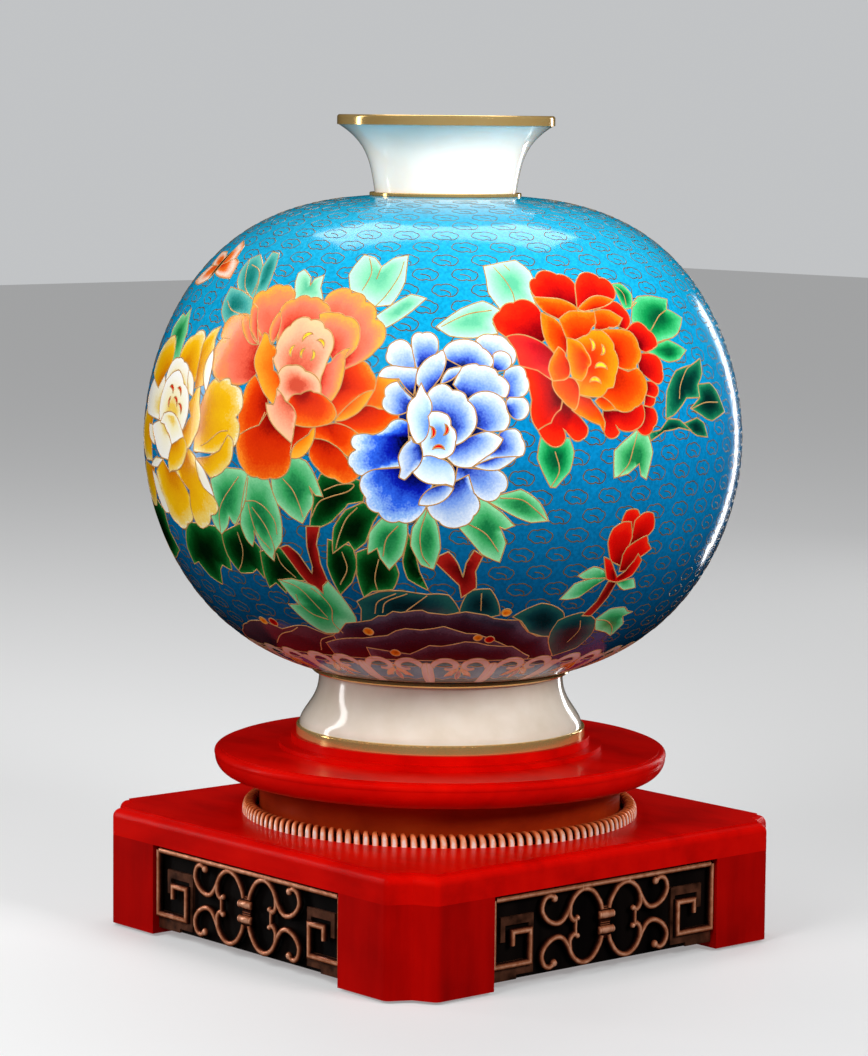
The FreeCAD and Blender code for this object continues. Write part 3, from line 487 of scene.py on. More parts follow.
FRONT_LEAF = """
light -61,-41 -55,-40,.05 -46,-42.3 -43.6,-45 -43,-42 -40.5,-39.8 -36.5,-45.5,.05 -33,-54,.05 -33.3,-56.3
  -38,-57 -43,-62,.05 -49,-62.7,.1 -56,-57.5,.05 -60.6,-50.6 -55.8,-50.2 -58,-46.5
wire -60,-41 -53,-43.5 -48,-50 -45,-55
wire -48,-43 -44.5,-46 -42,-51 -43.5,-57 -41,-62
wire -55.3,-46 -55,-50 -51,-54 -45,-56
"""

BUD = """
trunk 62.2,-40.5 66.2,-40.8 65,-46.5,.05 60.8,-54.5 56.5,-54 60.5,-48,.05
light 48.6,-37.6,.1 54,-34.5,.1 59,-36.2 61,-39 55,-39 51,-38.8
light 43.8,-46.3 48,-40.5,.05 55,-38.8 61,-39.2 56.5,-42 51.5,-46,.1
light 66.3,-41.3,.05 74,-40.2,.05 77,-44 71.5,-44.5,.1
bud 61.5,-20.5,.15 62.8,-16,.2 67.5,-15.8,.1 69,-18 67,-24 63,-26
bud 67,-19.5,.1 70.5,-17 71,-16.9,.15 74.8,-17.5,.15 76.5,-22.5,.2 73.5,-25.2,.1 67,-28
bud 62.5,-19.5,.1 58.5,-21.5,.15 57.5,-26.5,.05 60.5,-33 65.5,-35 67.3,-25,.05 65.5,-19.7,.05
bud 66,-28.5,.1 73.8,-24.8,.15 75.2,-27.3 77.7,-29.6,.1 74,-32 70,-37 65.5,-37 65,-31
bud 57.2,-31.2 60.5,-32.5 63.5,-36.5 65.5,-39 68.5,-37,.1 71,-33.5 72,-31 74.7,-33.5,.1 72.5,-39,.1
  66,-41,.1 61,-39.5,.05
"""

CORAL = """
upper -78.3,51.5,.35 -73.8,54.2,.25 -66.3,56.7,.2 -61.5,55.8,.25 -58.5,52 -57,44 -62,36 -68,36 -75.5,46.5,.1
upper -76,45.2,.15 -83.2,45.1,.35 -88,39.5,.35 -86.3,37.1,.3 -87.8,30.5,.25 -83,23.7,.2 -77.5,24,.2
  -75.3,22.3,.15 -66.3,25.7 -64,30 -66,38
wire -86.5,37.2 -82.5,37.2
lower -66.3,25.9,.15 -69.8,19,.1 -70.8,12,.1 -69.8,6.9,.1 -62,10 -58,14 -60,20
lower -70,6.6,.15 -70.5,1.3,.12 -67.8,-3.9,.2 -62.3,-6.1,.15 -57.3,-6.2,.15 -51,-4.2,.15 -49.6,2.5 -48,8
  -58,16 -62,10.2,.05
wire -60,14.5 -62,10.2
deep -48.6,11 -41.2,11 -44,6 -49.5,2.5
orange -21.5,27,.1 -14.5,26 -13,16 -25,17.5 -22.4,22.6
lower -34.7,12.8 -29.5,14.2,-.05 -25,17.9,.1 -20.4,16.9,.1 -11.5,14.6,.1 -17,11,.1 -25,8.9,.1 -30,9.5,.05
lower -41.5,10.9 -34.5,12.2,.1 -26.5,8.8 -27.3,4.3,.1 -29.8,1.8 -35,5.5,-.1 -41.5,6.9
lower -41.6,7,.1 -35,5.6,.1 -30,1,.05 -28.3,-1,.1 -26.4,-4,.15 -31.3,-6.6,.05 -34.2,-5.1,.15 -39.8,-2.3,.1
  -42.9,1.7,.1
lower -33.2,28.8,.12 -27.8,32.3,.15 -23.7,28.9,.2 -22.3,22.7,.05 -26.5,20.5 -33.8,13.5 -36.5,18.9 -34,24
orange -34.8,12.8,.05 -27.8,20.3,.1 -22.4,22.8,.05 -25,18.2,.1 -29.5,14.2,.1
amber -41.3,10.8,.1 -41.7,6.3,.12 -45.5,1.2,.1 -49.4,.6,.15 -46.8,6 -43.3,8.3,.1
upper -45.5,51.8,.2 -42.5,55.8,.15 -36,56.2,.12 -35.2,55,.15 -30,54,.1 -29,51.8,.15 -25.3,50.2,.15
  -24.4,45.8,.2 -20.3,42.5,.2 -22.5,36,.08 -27,31.9 -33,29 -38,40 -42,47
upper -63,47.5,.2 -60.3,51.7,.1 -57.8,52,.25 -51.5,52.6,.15 -47.3,52.5,.1 -45.8,51.4,.2 -41.6,47.4 -40,40
  -50,34 -60,36
upper -46,47,.1 -40,47.7,.12 -35.6,46.6,.2 -29.6,43,.05 -29.3,41.2,.2 -31.8,33.9 -36,30 -42,38
upper -80.5,45.3 -76.2,45.2,-.1 -73.2,40,-.1 -67.8,36,.15 -73.5,37,.1
upper -77.2,49.6,.2 -73,46.2,-.05 -71,42.5 -69.5,39 -67.8,36.2 -73.2,40,.05 -76.2,45.5,.1
upper -62.8,47.6,.12 -60.6,41.5,.12 -62.2,36.6,.15 -64.9,42,.1
upper -31.8,36.1 -33.3,33.2,.05 -33.2,26,.1 -36.4,18.8 -40.5,21.5 -41,25,.1 -39.5,30.5 -38,31.3,.15
heart -60,35,.1 -59,39.7,.15 -56.3,42.7,.1 -55.4,44.2,.15 -50.2,45.8,.1 -48.6,44.9,.15 -43.8,44.3,.1
  -42.5,42.4,.15 -39,40,.15 -38.3,35 -40.7,26.5 -41,22 -56,22 -57,27 -60,31
heart -57,26.5,.15 -55.2,29.2,.1 -52,29.7,.15 -47.5,28.8 -46.6,28,.15 -41,24.8,.1 -40.2,21.5 -48,16 -56,20
lower -51.8,18,.12 -49.8,20.5,.05 -47.3,20.7,.1 -43.8,22,.05 -42.7,21.5,.12 -36.8,18.9,.12 -34.2,14.8,.2
  -38,11.4,.08 -48.3,11,.1
heart -56.7,22,.1 -52.6,18.1 -51.5,17.8,.15 -48.1,13.5 -48.7,9,.05 -49.3,5.2 -55,9.3,.12 -60,17.2 -57.3,17
orange -66.9,39.9,.15 -64.2,38.5,-.05 -62.6,36.3,.15 -59.4,34,.2 -60.4,31.8 -59,27.8,.15 -55.7,24.5,.2
  -56.6,21.9,.1 -57.2,16.9 -60.5,19.5,.05 -65.7,26.5,.1 -68.1,31.5,.05 -67.2,36.2
crescent_y -50,37.6 -46.5,40.2
crescent_y -44.5,38.2 -41.5,35.8
crescent_y -53.2,32.6 -52.4,36.3
crescent_y -49,32.3 -48.2,35.5
crescent_y -45.5,35 -45.5,31.5
"""

SCARLET = """
red 34.2,54.3,.15 33.3,59.3,.2 36.3,61.4,.15 40.5,64.4,.12 46.2,62.8,.25 52.6,58.8 51.8,56.8 50,50 38,50
red 52,57,.1 55.5,61.5,.1 58.5,63.2,.15 65.2,62 65.8,61.1,.3 70.6,57.4,.2 67.5,52.6 58,49 50,50
red 17,46.3,.12 19.8,49.2,.2 25.4,52.2,.2 32.5,52.3,.15 35.3,48 36,40 30,36 21,40.4 18.3,42.5,.05
crimson 21.3,40.4,.12 29.5,40.4,.1 37.8,34.5 37,30 35.2,26.2 31,29.4,.05 25,31 24,36
red 25.5,30.8 31,29.4 36,26 38.7,20 38,17.3,.12 34.5,12.9,.05 30,10.6,.1 27.8,15.5,.05 28.3,20 27,28
red 30,10.6,.1 33.6,6,.35 39.2,8.2,.1 38.4,11 39.2,10.3,.05 42,7.3,.2 45,7.5,.25 47,11.3,.05 41.7,17 39,20
  37.9,17,.12 34.5,12.9,.05
red 60,50 66,52.2,.2 71.3,49.2,.2 71.8,44.6,.1 68.5,42 60,45
red 69,42.1,.1 75.5,44.6,.15 79.4,41.6,.3 81.5,36.2,.05 74.8,34.2 70,36
red 74.8,34,.05 79,33.3,.25 81.2,28.6 80.9,28,.35 76.5,23.9 74.6,24.9 70,28 70,34
red 74.5,24.9,.1 77.2,22.8,.3 74.3,19.5 71,20.4 70,25
red 70.8,20.6 75.2,19.4,.25 72,16.6 69.5,17
red 69.3,17.3 73.8,16.2,.25 74.2,11 73,10.2,.25 68,8,.1 65.6,10 66,16
red 53,16.5 52.4,10.5 53.2,8.6,.35 58.8,9.3 57.4,11.6 58.3,10.4,.15 65.4,9.9,.2 69.6,14.5,.1 69,17.8 60,16
flame 33.4,54.3 42,53.7,.1 50,50.3 50,46 41.5,46.2 37,48.5,.1
flame 50,49.5,.05 57.5,53.8,.1 65,53.7 68,52.6,.05 59,49.7 53,48.8
flame 35.2,48.8 40,46.5,.1 43.2,41,.1 41.5,34 37.8,34.7,.1 34.6,41.5,.05
flame 57,42.6 66.5,42.3 70,41.5,.2 72.2,36 72.6,35.2,.2 69.4,30.5 68.8,29.2,.12 61.5,29.8 60,36
flame 60.8,29.9 65,28.3 69.2,29.3,.15 72.2,24.5,.15 70.7,20.3,.15 65.8,16.8 64.6,16,.15 57.8,16.6,.1 52,20.8
  56,24
flame 50.3,19.3 52.5,20.9,.1 57.9,16.5,.05 53.5,16.2,.1
flame 44.6,21.4 48.8,20.2 49.9,18.4,.08 53.5,12.5,.05 52.7,9.4 51.5,11.8,.05 46,14.2,.05 41.8,16.7 44,18.8
flare 53,42.3 57.5,42.2,.12 61.4,37.5,.05 61,35.6,.1 61.8,31.5,.05 59.5,27,.05 57.9,23.4 55.6,23.1,.1
  52.5,20.5,.05 44.8,21.6 44,30 46,40
flame 56.5,48.6,.1 64.5,48.7 68.7,46 66,43.6,.1 61.5,43.1,.1 55,42.6 56,45
flame 41.6,46.2,.05 46.5,48.9,.05 52,48.7 57,48.6 56.3,44.8,.1 54.4,43.4 53.6,42.6,.15 49.5,40.3,.05
  46,39.1,.05 42.9,39.8
flare 43.1,39.9,.05 46.3,39.1,.15 49.4,36 49.8,35,.15 50.6,31.2,.05 49.2,30,.12 46.2,25.8,.05 43,27 42,32
flame 36,27,.05 43,26.8,.2 45,23,.05 44.3,19.3,.1 42.8,16.7,.1 38.6,20.1,.1 35.7,24.5,.05
flame 39.5,36.9,.1 41.7,34.6 41.4,33.8,.12 42.6,31,.1 42,27.6,.1 39.8,26.2 36,26,.05 34.9,29.6,.1 37,34,.05
crescent_y 52,39.4 52,35.5
crescent_y 56.3,37.4 55.2,34
crescent_y 52,29.8 56.7,29.3
crescent_y 49.2,25.4 53.4,24.8
"""

GOLDEN = """
cream -126,-6 -135,-6.5,.1 -142,-3,.25 -143,6,.2 -136,10.5,.1 -126,8
cream -124,-8 -126.5,-15,.1 -130,-21,.1 -138,-21.5,.2 -143,-14,.2 -140,-7
white -117.5,19,.1 -121.5,23.2,.1 -128.5,23.2,.1 -135.5,19.5,.15 -139.5,13,.2 -134,8.7 -119,8
cream -116.5,27,.1 -119,33.5,.1 -123.5,36,.1 -131,33.5,.12 -137,28.5,.15 -138,22 -125,18
cream -110.6,28.5,.12 -110,34,.15 -105,37 -104.8,37.2,.15 -100.5,39.1,.15 -97,36.8,.1 -96.5,34.8 -92,24
  -100,20 -108,24
cream -97,34.8,.1 -93.5,39.8 -90,41 -90.4,36.5 -88.5,31.5 -88,22 -95,20
white -89.6,33.2,.08 -87.6,25,.05 -88.3,19.2,.05 -91.8,25,.15
cream -88.5,19,.1 -84.5,23.8 -82,22.8,.15 -77.3,24.2 -76,22.3,.1 -71.8,21.3,.15 -69.6,15.5,.1 -72,12.2,.2
  -70,7,.15 -72.5,2.5 -80,0 -92,0 -91,12
wire -88,2 -84.5,3.5 -79,7 -75,7.7
cream -91,-2.3 -84,-1.2 -78.5,1.2 -75,6.3,.15 -72.3,4.5,.05 -72.8,-1,.1 -75.5,-4,.1 -83.5,-7.8 -87,-5
cream -109,-7.8 -104.5,-7.5,.1 -96.2,-15.5,.1 -97.3,-22.8,.1 -102,-24.8 -102.6,-25.6,.2 -109.5,-26
  -110.3,-25.6,.15 -115.5,-22 -122,-9 -114,-4.5
white -127,-9,.05 -120.5,-12,.05 -115.3,-22.5 -119.5,-22.8,.1 -125,-16.5,.1
cream -95,.4,.1 -90.6,-2.2,.05 -89.5,-9 -82.8,-14,.1 -81,-17.5,.2 -86,-20.2 -86.2,-21.5,.15 -91,-25
  -91.6,-25.3,.2 -96,-23.5,.1 -96.8,-17 -96,-13 -104,-7.5 -98.5,-3
white -91,-2.2,.05 -86.5,-5.5,.05 -82.3,-14,.05 -87.5,-11.3,.1
white -125,6 -130.5,6,.1 -129,2,.1 -122,-.2,.05 -124.5,3.5
white -128,-7.6,.05 -121,-4.2 -113.5,-4.3 -119.5,-7.4,.05
white -118.3,21,.15 -117,26.8,.15 -111.5,29,.15 -106.3,28,.15 -101.3,25.8,.1 -98,20 -108,16
white -101.3,25.8,.1 -96.5,22.3,.05 -95.3,17.2 -98.3,18.3,.1
heartw -119.8,13,.1 -117.5,21,.05 -115.5,22.5,.1 -108.5,25.1,.12 -102.7,21 -101.7,20.7,.15 -97.5,16.3,.12
  -97.2,10,.1 -101,4.5 -110,3 -118,8,.05
cream -91.8,21 -90.6,15,.05 -89.3,11.7,.15 -92,4,.1 -95.3,.5,.15 -99,5.7 -97.3,7.8,.1 -94.7,10.8
  -96.9,14.5,.1 -95.2,17.2 -94,19.8
white -125.7,5.8,.05 -117,7.9,.1 -110.5,4.8,.1 -106.5,1,.05 -109,-4.2 -114.5,-4,.1 -121,.5,.05
heartw -117,7.2,.05 -114.3,10.6 -113,10.8,.08 -107.5,11.3,.1 -102,8.8,.05 -98,3.7 -103,2.2,.05 -106.3,1
  -108.5,4,.05 -113,7
cream -98.3,3.9,.1 -95.8,.4,.1 -100,-5.8,.1 -106,-7.3 -109,-8.3 -109.5,-5,.05 -106.2,1 -102.5,2.4,.05
crescent_r -113,19.3 -109.3,17.3
crescent_r -106.5,19.3 -103.3,17
crescent_r -110.8,12.8 -110.3,16.3
crescent_r -108,16 -105,13.5
crescent_r -104,14.3 -101.5,11.3
"""

AZURE = """
midnight -12,35 -5,33 3,38 8,30 14,18 13,8 10,2 8,-3 0,-14 -8,-14 -14,0 -14,16 -12,26
blue -9.6,33.6,.1 -11.8,37.9,.25 -17.2,38.3,.2 -18.9,35.2,.3 -17.2,31,.1 -14,30 -9,22
blue -14.3,30.4,.1 -19,30.2,.15 -21.3,27.1,.05 -14.5,26.6,.05 -9.5,21.3 -8.5,30
blue -14.8,25.7,.15 -18.8,23.5,.1 -18.6,21,.25 -18.8,17,.2 -12.5,15.7 -9.5,17 -10,20.8,-.05
deepblue -13.2,14,.2 -17.5,11.6,-.1 -22,8.9,.1 -28,8.6,.4 -27.2,4.1,.2 -29.8,.8,.2 -28.3,-1.7,.25
  -24.3,-3.7,.05 -20,-1.5 -13,-.7 -10.5,6 -11,13,.1
deepblue -13.3,-1 -20,-1.6,.1 -25,-3.7,.2 -25.3,-9.2 -24.2,-10.8,.3 -20.2,-15.4 -19.9,-16,.25 -13.7,-18,.2
  -8.3,-17.3,.1 -5,-12.8 -3,-6 -10,-2
blue 4.5,-.5 11,-1.2 16.5,-1.4,.2 20.2,-5.2,.15 19.3,-8.2 18.2,-8.6,.25 13.8,-11.3,.1 9.7,-8.7 3.5,-7
blue -4.9,-13.2,.15 -1,-17.9,.1 .3,-19.2,.15 6.5,-19.3,.2 9.8,-16,.2 11.6,-11.6,.1 9.8,-8.7 8,-3 3,-5.5
  -1,-11
blue 10.7,39.3,.2 16.8,41,.2 22.2,38.2,.15 24.2,34.5,.15 22,30.8 15,28 13,35
blue 20,29.6,.1 25.3,31,.2 27,27.5,.3 25.3,21.2 20,20 19,26
blue 21,21 25.6,20.9,.25 27,16,.2 23.5,13.9,.15 20.4,16.5,.1 20,20
blue 16.3,34.6,.25 21.3,34.9,.2 22.3,31.5,.1 20,29.5 16,29
blue -.3,36,.15 4.5,39.3,.1 10.5,38.8,.1 13,36.7,.15 16.4,32.5,.1 15.5,30.6 6,30.5 1,33
blue 5.5,30.3,.1 10.8,31.6 11.6,31,.12 17,29.6 17.8,28,.15 21.2,24.6,.12 19.7,20.7 13,22.9 7.5,20.2 3,25
blue 7.7,20.3,.12 12.5,22.9,.15 19,20.4,.1 20,17.5 20.3,16.6,.25 19,10.6 14,10.3 9.5,12 9,17
blue -10,33.8,.05 -11,39.5,.35 -7.4,41.4,.3 -2,39,.05 -2,35.8 -5,31 -9,30
blue -.5,36.2,.12 .6,31.5,.05 -1.3,26.8 -5.2,21.8 -8.7,25,.15 -7.3,31.2,.1 -2.5,34.7
blue 5.8,30.6,.05 1.5,29.8,.1 -1,25.2,.1 3.8,27.5,.1
blue 17.9,10.1,.1 22.5,11.2,.2 24.7,8.3,.2 25,3,.1 16,2.3 9.5,-.3 14,5
blue 9.6,-.4,.05 16.5,2.4 23.4,2.7,.05 17.5,-1.4,.1
blue 1.2,2.2,.05 4.5,6.8,.05 13.5,10.5,.1 18.7,8,.1 13.5,2.7 9,-.6,.1 3.5,0
blue -5,22.2,.15 -.5,25.2,.15 2.8,23.2,.15 7,21.8 7.7,19.9,.15 10.3,15.6,.15 9.2,10.3,.1 4,6.2 0,10 -5,15
blueheart -5.2,14.5,.1 -3.9,16.4,.12 1.3,15.5,.15 2.3,12.2 3.5,11,.15 3.8,7,.1 3,3.8,.15 -1.3,1.9 -6.6,2.6
  -6.9,7
blue 3.4,-7.2,.1 0,-6.2,.15 -6.5,-10,.1 -7.4,-12.6,.1 -1,-11.9,.12
blueheart -9.3,-2.4 -6.8,.6 -6.6,2.4,.15 -1.3,2,.15 3,-.5,.15 3.3,-6.6 1,-5.9,.05 -4.5,-5.8,.1
blue -10.6,8.8,.15 -9.2,6.9 -7.2,6.3,.15 -6.6,1.2,.1 -9.6,-2.4,.05 -11.8,-4.8,.05 -13.6,-4 -13,-1.5,.05
  -13.8,2.2,.12 -10.2,7.6
blueheart -7.2,25.4 -5.8,22.6,.05 -3.9,19.5,.1 -3.7,17,.1 -4.8,15,.1 -4.8,9.5,.15 -8,6.4,.1 -10.7,12,.1
  -11.3,17,.15 -9,21
crescent_r -4,12 -3.8,8.2
crescent_r .5,12.7 .1,9.2
crescent_r -3.2,4.8 .5,4.8
"""

BUTTERFLY = """
wing -119,66 -122,74.8,.05 -113,72,.1 -108.5,66 -118,62.5
wing -118,63.5 -109.5,66.5,.1 -103.5,65,.1 -100.5,58.5,.05 -110,58.5,.05 -118,60
wing -120,66 -127,69,.05 -135.5,68.5,.1 -132,63,.05 -121,62
wing -120,63 -131,62.5,.05 -138.5,55.5,.05 -129,54.5,.1 -119,58
body -120.5,57,.2 -118.5,64 -120,71,.1 -121.5,64
"""

# colours from a cell's root to its rim
PAINTS = {
    "upper": "0 b82014 .25 e45840 .6 ee765a .82 f48a50 1 f8a83c",
    "lower": "0 8c0804 .3 c82404 .65 dc3804 .9 ec6010 1 f88420",
    "heart": "0 c84830 .35 ee8464 .7 f4ac88 1 fac090",
    "deep": "0 8c0802 .6 c42004 1 e04410",
    "orange": "0 e04808 .5 f07818 1 fca42c",
    "amber": "0 e86808 .5 f4941c 1 fcb43c",
    "red": "0 5c0206 .3 a0060a .65 cc1208 1 e42c0c",
    "crimson": "0 80060c .5 c01820 1 e03424",
    "flame": "0 a01004 .3 cc2c04 .7 de4c06 1 f07c10",
    "flare": "0 e02c08 .5 f05c08 1 fa8c10",
    "cream": "0 c87004 .3 de9a06 .7 ecb40c .92 eed070 1 f2e4bc",
    "white": "0 e8c860 .3 f0e8cc 1 f4f2ee",
    "heartw": "0 e8c048 .3 f0e6b8 1 f4f2ee",
    "midnight": "0 01010c .6 040c40 1 0c2878",
    "deepblue": "0 020212 .32 0818a0 .6 2c60dc .82 90b8f0 1 dce8f8",
    "blue": "0 0a1244 .2 2c48b4 .45 6c90d8 .72 a8bee0 1 dce4ee",
    "blueheart": "0 5c8ce8 .4 a8c8f4 1 e6f0fa",
    "light": "0 14703c .35 38a05c .7 64bc80 1 90d8a0",
    "mid": "0 04502c .4 0c8444 .75 34b068 1 60c88c",
    "pale": "0 58b48c .4 80cca4 .8 a2dcbc 1 b6e6cc",
    "dark": "0 011404 .4 022c0a .75 064c1a 1 207834",
    "teal": "0 0c7068 .5 3c9c94 1 74c0b0",
    "dteal": "0 022420 .4 044030 .75 0c6444 1 2c8c60",
    "slate": "0 041c20 .5 0c383c 1 205850",
    "trunk": "0 4c0404 .5 7c0c0a 1 a81c14",
    "bud": "0 6c0202 .35 a80402 .8 d00a04 1 e02008",
    "rock": "0 0a0810 .4 1a1420 .75 302634 1 5c4858",
    "maroon": "0 140a10 .5 2c1a24 1 54323c",
    "knot": "0 c85008 .5 f08018 1 fcac3c",
    "crescent_y": "0 d8a010 1 f0cc30",
    "crescent_r": "0 a00404 1 d81008",
    "wing": "0 c83010 .4 f07020 .75 f4dcc8 1 f08030",
    "body": "0 100808 1 402018",
    "pink": "0 c87468 .5 ecb4a8 1 f8d8d0",
    "arch": "0 101c50 .5 38488c 1 6478b0",
    "base": "0 1c0818 .5 38142c 1 582440",
}
paint_materials = {name: enamel_cell("enamel_" + name, stops) for name, stops in PAINTS.items()}

SAMPLE = 0.75       # spacing of points along an outline
MOON_SAMPLE = 0.5
GRID = 1.9          # spacing of points inside a cell
GRID_SQUEEZE = 0.87     # its rows are this much closer, for even triangles
WIRE_HALF = 0.22    # half the width of a wire
WIRE_SECTION = (
    (1.0, -0.09, 1.0), (0.72, -0.015, 1.0), (0.0, 0.0, 1.0), (-0.72, -0.015, 1.0), (-1.0, -0.09, 1.0))
MOST_BULGE = 0.6
PETAL_LOBES = 1.6   # petals' rims are this much rounder than their outlines' bulges say


def read_block(text):
    """(style, [(x, y, bulge), ...]) for each outline."""
    cells = []
    for row in text.strip().replace("\n  ", " ").splitlines():
        style, *words = row.split()
        points = [tuple(float(n) for n in word.split(",")) for word in words]
        cells.append((style, [p if len(p) == 3 else p + (0.0,) for p in points]))
    return cells


def arc_points(x0, y0, x1, y1, bulge, step):
    """Points from the first end up to the second, which is left out; a positive bulge goes to the right."""
    dx, dy = x1 - x0, y1 - y0
    chord = math.hypot(dx, dy)
    count = max(1, round(chord * (1.0 + abs(bulge)) / step))
    points = []
    half = 2.0 * math.atan(abs(bulge))
    for i in range(count):
        share = i / count
        rise = 0.0
        if abs(bulge) > 1e-6:
            radius = chord / (2.0 * math.sin(half))
            angle = half * (2.0 * share - 1.0)
            share = 0.5 + radius * math.sin(angle) / chord
            rise = math.copysign(radius * (math.cos(angle) - math.cos(half)), bulge)
        points.append((x0 + dx * share + dy / chord * rise, y0 + dy * share - dx / chord * rise))
    return points


def sampled(points, step=SAMPLE):
    """Closed outline as an array, its bulges rounded out."""
    ring = np.array([p[:2] for p in points])
    following = np.roll(ring, -1, axis=0)
    turn = 1.0 if (ring[:, 0] * following[:, 1] - following[:, 0] * ring[:, 1]).sum() > 0 else -1.0
    out = []
    for (x0, y0, bulge), (x1, y1, _) in zip(points, points[1:] + points[:1]):
        out += arc_points(x0, y0, x1, y1, bulge * turn, step)
    return np.array(out)


def smooth_line(points, step=0.7):
    """Smooth open line through a few points (Catmull-Rom)."""
    p = np.array([q[:2] for q in points])
    if len(p) == 2:
        count = max(2, int(np.linalg.norm(p[1] - p[0]) / step))
        return p[0] + (p[1] - p[0]) * np.linspace(0, 1, count + 1)[:, None]
    ends = np.vstack([2 * p[0] - p[1], p, 2 * p[-1] - p[-2]])
    out = []
    for a, b, c, d in zip(ends, ends[1:], ends[2:], ends[3:]):
        count = max(2, int(np.linalg.norm(c - b) / step))
        for t in np.linspace(0, 1, count, endpoint=False):
            square, cube = 2 * a - 5 * b + 4 * c - d, 3 * b - a - 3 * c + d
            out.append(0.5 * (2 * b + (c - a) * t + square * t * t + cube * t ** 3))
    out.append(p[-1])
    return np.array(out)


class Picture:
    """Cells from the back to the front, and the veins drawn on them."""

    def __init__(self):
        self.cells = []      # (group, style, outline, root)
        self.veins = []

    def add(self, group, text, root=None, lobes=1.0):
        for style, points in read_block(text):
            points = [(x, y, min(MOST_BULGE, bulge * lobes)) for x, y, bulge in points]
            if style == "wire":
                self.veins.append(smooth_line(points))
            elif style.startswith("crescent"):
                self.moon(group, style, points)
            else:
                self.cell(group, style, sampled(points), root)

    def cell(self, group, style, outline, root=None):
        """With no root the middle of the outline is taken, so that the rim is pale all round."""
        root = outline.mean(axis=0) if root is None else np.array(root, dtype=float)
        self.cells.append((group, style, outline, root))

    def moon(self, group, style, tips):
        """Small crescent between two tips."""
        (ax, ay, _), (bx, by, _) = tips
        self.cell(group, style, np.array(
            arc_points(ax, ay, bx, by, -0.85, MOON_SAMPLE) + arc_points(bx, by, ax, ay, 0.25, MOON_SAMPLE)))


def inside(points, outline):
    """Even-odd test of many points."""
    hit = np.zeros(len(points), dtype=bool)
    x, y = points[:, 0], points[:, 1]
    for (x0, y0), (x1, y1) in zip(outline, np.roll(outline, -1, axis=0)):
        if y0 != y1:
            crosses = (y0 > y) != (y1 > y)
            hit ^= crosses & (x < (x1 - x0) * (y - y0) / (y1 - y0) + x0)
    return hit


MAP_LOW, MAP_STEP, MAP_SHAPE = np.array([-160.0, -82.0]), 0.4, (760, 420)


def raster(picture):
    """Index of the topmost cell at each place, or -1."""
    top = np.full(MAP_SHAPE, -1, dtype=int)
    for index, (_, _, outline, _) in enumerate(picture.cells):
        low = np.maximum(np.floor((outline.min(axis=0) - MAP_LOW) / MAP_STEP).astype(int), 0)
        high = np.ceil((outline.max(axis=0) - MAP_LOW) / MAP_STEP).astype(int) + 1
        gx, gy = np.meshgrid(np.arange(low[0], high[0]), np.arange(low[1], high[1]), indexing="ij")
        spots = MAP_LOW + (np.stack([gx.ravel(), gy.ravel()], axis=1) + 0.5) * MAP_STEP
        mask = inside(spots, outline)
        top[gx.ravel()[mask], gy.ravel()[mask]] = index
    return top


def painted(top, points):
    """True where a cell lies."""
    cells = np.floor((np.asarray(points) - MAP_LOW) / MAP_STEP).astype(int)
    good = ((cells >= 0) & (cells < np.array(MAP_SHAPE))).all(axis=1)
    result = np.zeros(len(cells), dtype=bool)
    result[good] = top[cells[good, 0], cells[good, 1]] >= 0
    return result


def rim_share(points, outline, root):
    """0 at the root, 1 on the rim that a ray from the root through the point leaves by."""
    start, end = outline - root, np.roll(outline, -1, axis=0) - root
    side = end - start
    ray = points - root
    size = np.maximum(np.linalg.norm(ray, axis=1), 1e-6)
    direction = ray / size[:, None]
    cross = direction[:, :1] * side[:, 1] - direction[:, 1:] * side[:, 0]
    cross = np.where(np.abs(cross) < 1e-9, 1e-9, cross)
    reach = (start[:, 0] * side[:, 1] - start[:, 1] * side[:, 0]) / cross
    along = (start[:, 0] * direction[:, 1:] - start[:, 1] * direction[:, :1]) / cross
    reach = np.where((along >= -1e-6) & (along <= 1 + 1e-6) & (reach > 0), reach, 0.0).max(axis=1)
    return np.clip(size / np.maximum(reach, size), 0.0, 1.0)


def stretched(tone):
    """Each visible petal runs through all its colours, from where it comes out of the flower to its rim."""
    low = np.quantile(tone, 0.03)
    return np.clip((tone - low) / max(1.0 - low, 0.05), 0.0, 1.0)


def triangulate(picture, low, high, wanted):
    """Points, triangles and the topmost cell of each; inside the cells points lie on a grid where wanted."""
    verts, edges = [], []
    for _, _, outline, _ in picture.cells:
        first, count = len(verts), len(outline)
        edges += [(first + i, first + (i + 1) % count) for i in range(count)]
        verts += outline.tolist()
    across, up = np.arange(low[0], high[0], GRID), np.arange(low[1], high[1], GRID * GRID_SQUEEZE)
    gx, gy = np.meshgrid(across, up, indexing="ij")
    gx = gx + (np.arange(gx.shape[1]) % 2) * GRID / 2
    loose = np.stack([gx.ravel(), gy.ravel()], axis=1)
    verts += loose[wanted(loose)].tolist()
    result = delaunay_2d_cdt([Vector(v) for v in verts], edges, [], 0, 1e-3, False)
    points = np.array([tuple(v) for v in result[0]])
    triangles = np.array([tuple(f) for f in result[2]])
    a, b, c = (points[triangles[:, k]] for k in range(3))
    area = (b[:, 0] - a[:, 0]) * (c[:, 1] - a[:, 1]) - (b[:, 1] - a[:, 1]) * (c[:, 0] - a[:, 0])
    triangles[area < 0] = triangles[area < 0][:, ::-1]
    middle = (a + b + c) / 3.0
    owner = np.full(len(triangles), -1)
    for index, (_, _, outline, _) in enumerate(picture.cells):
        near = np.nonzero(((middle >= outline.min(axis=0)) & (middle <= outline.max(axis=0))).all(axis=1))[0]
        owner[near[inside(middle[near], outline)]] = index
    return points, triangles[owner >= 0], owner[owner >= 0]


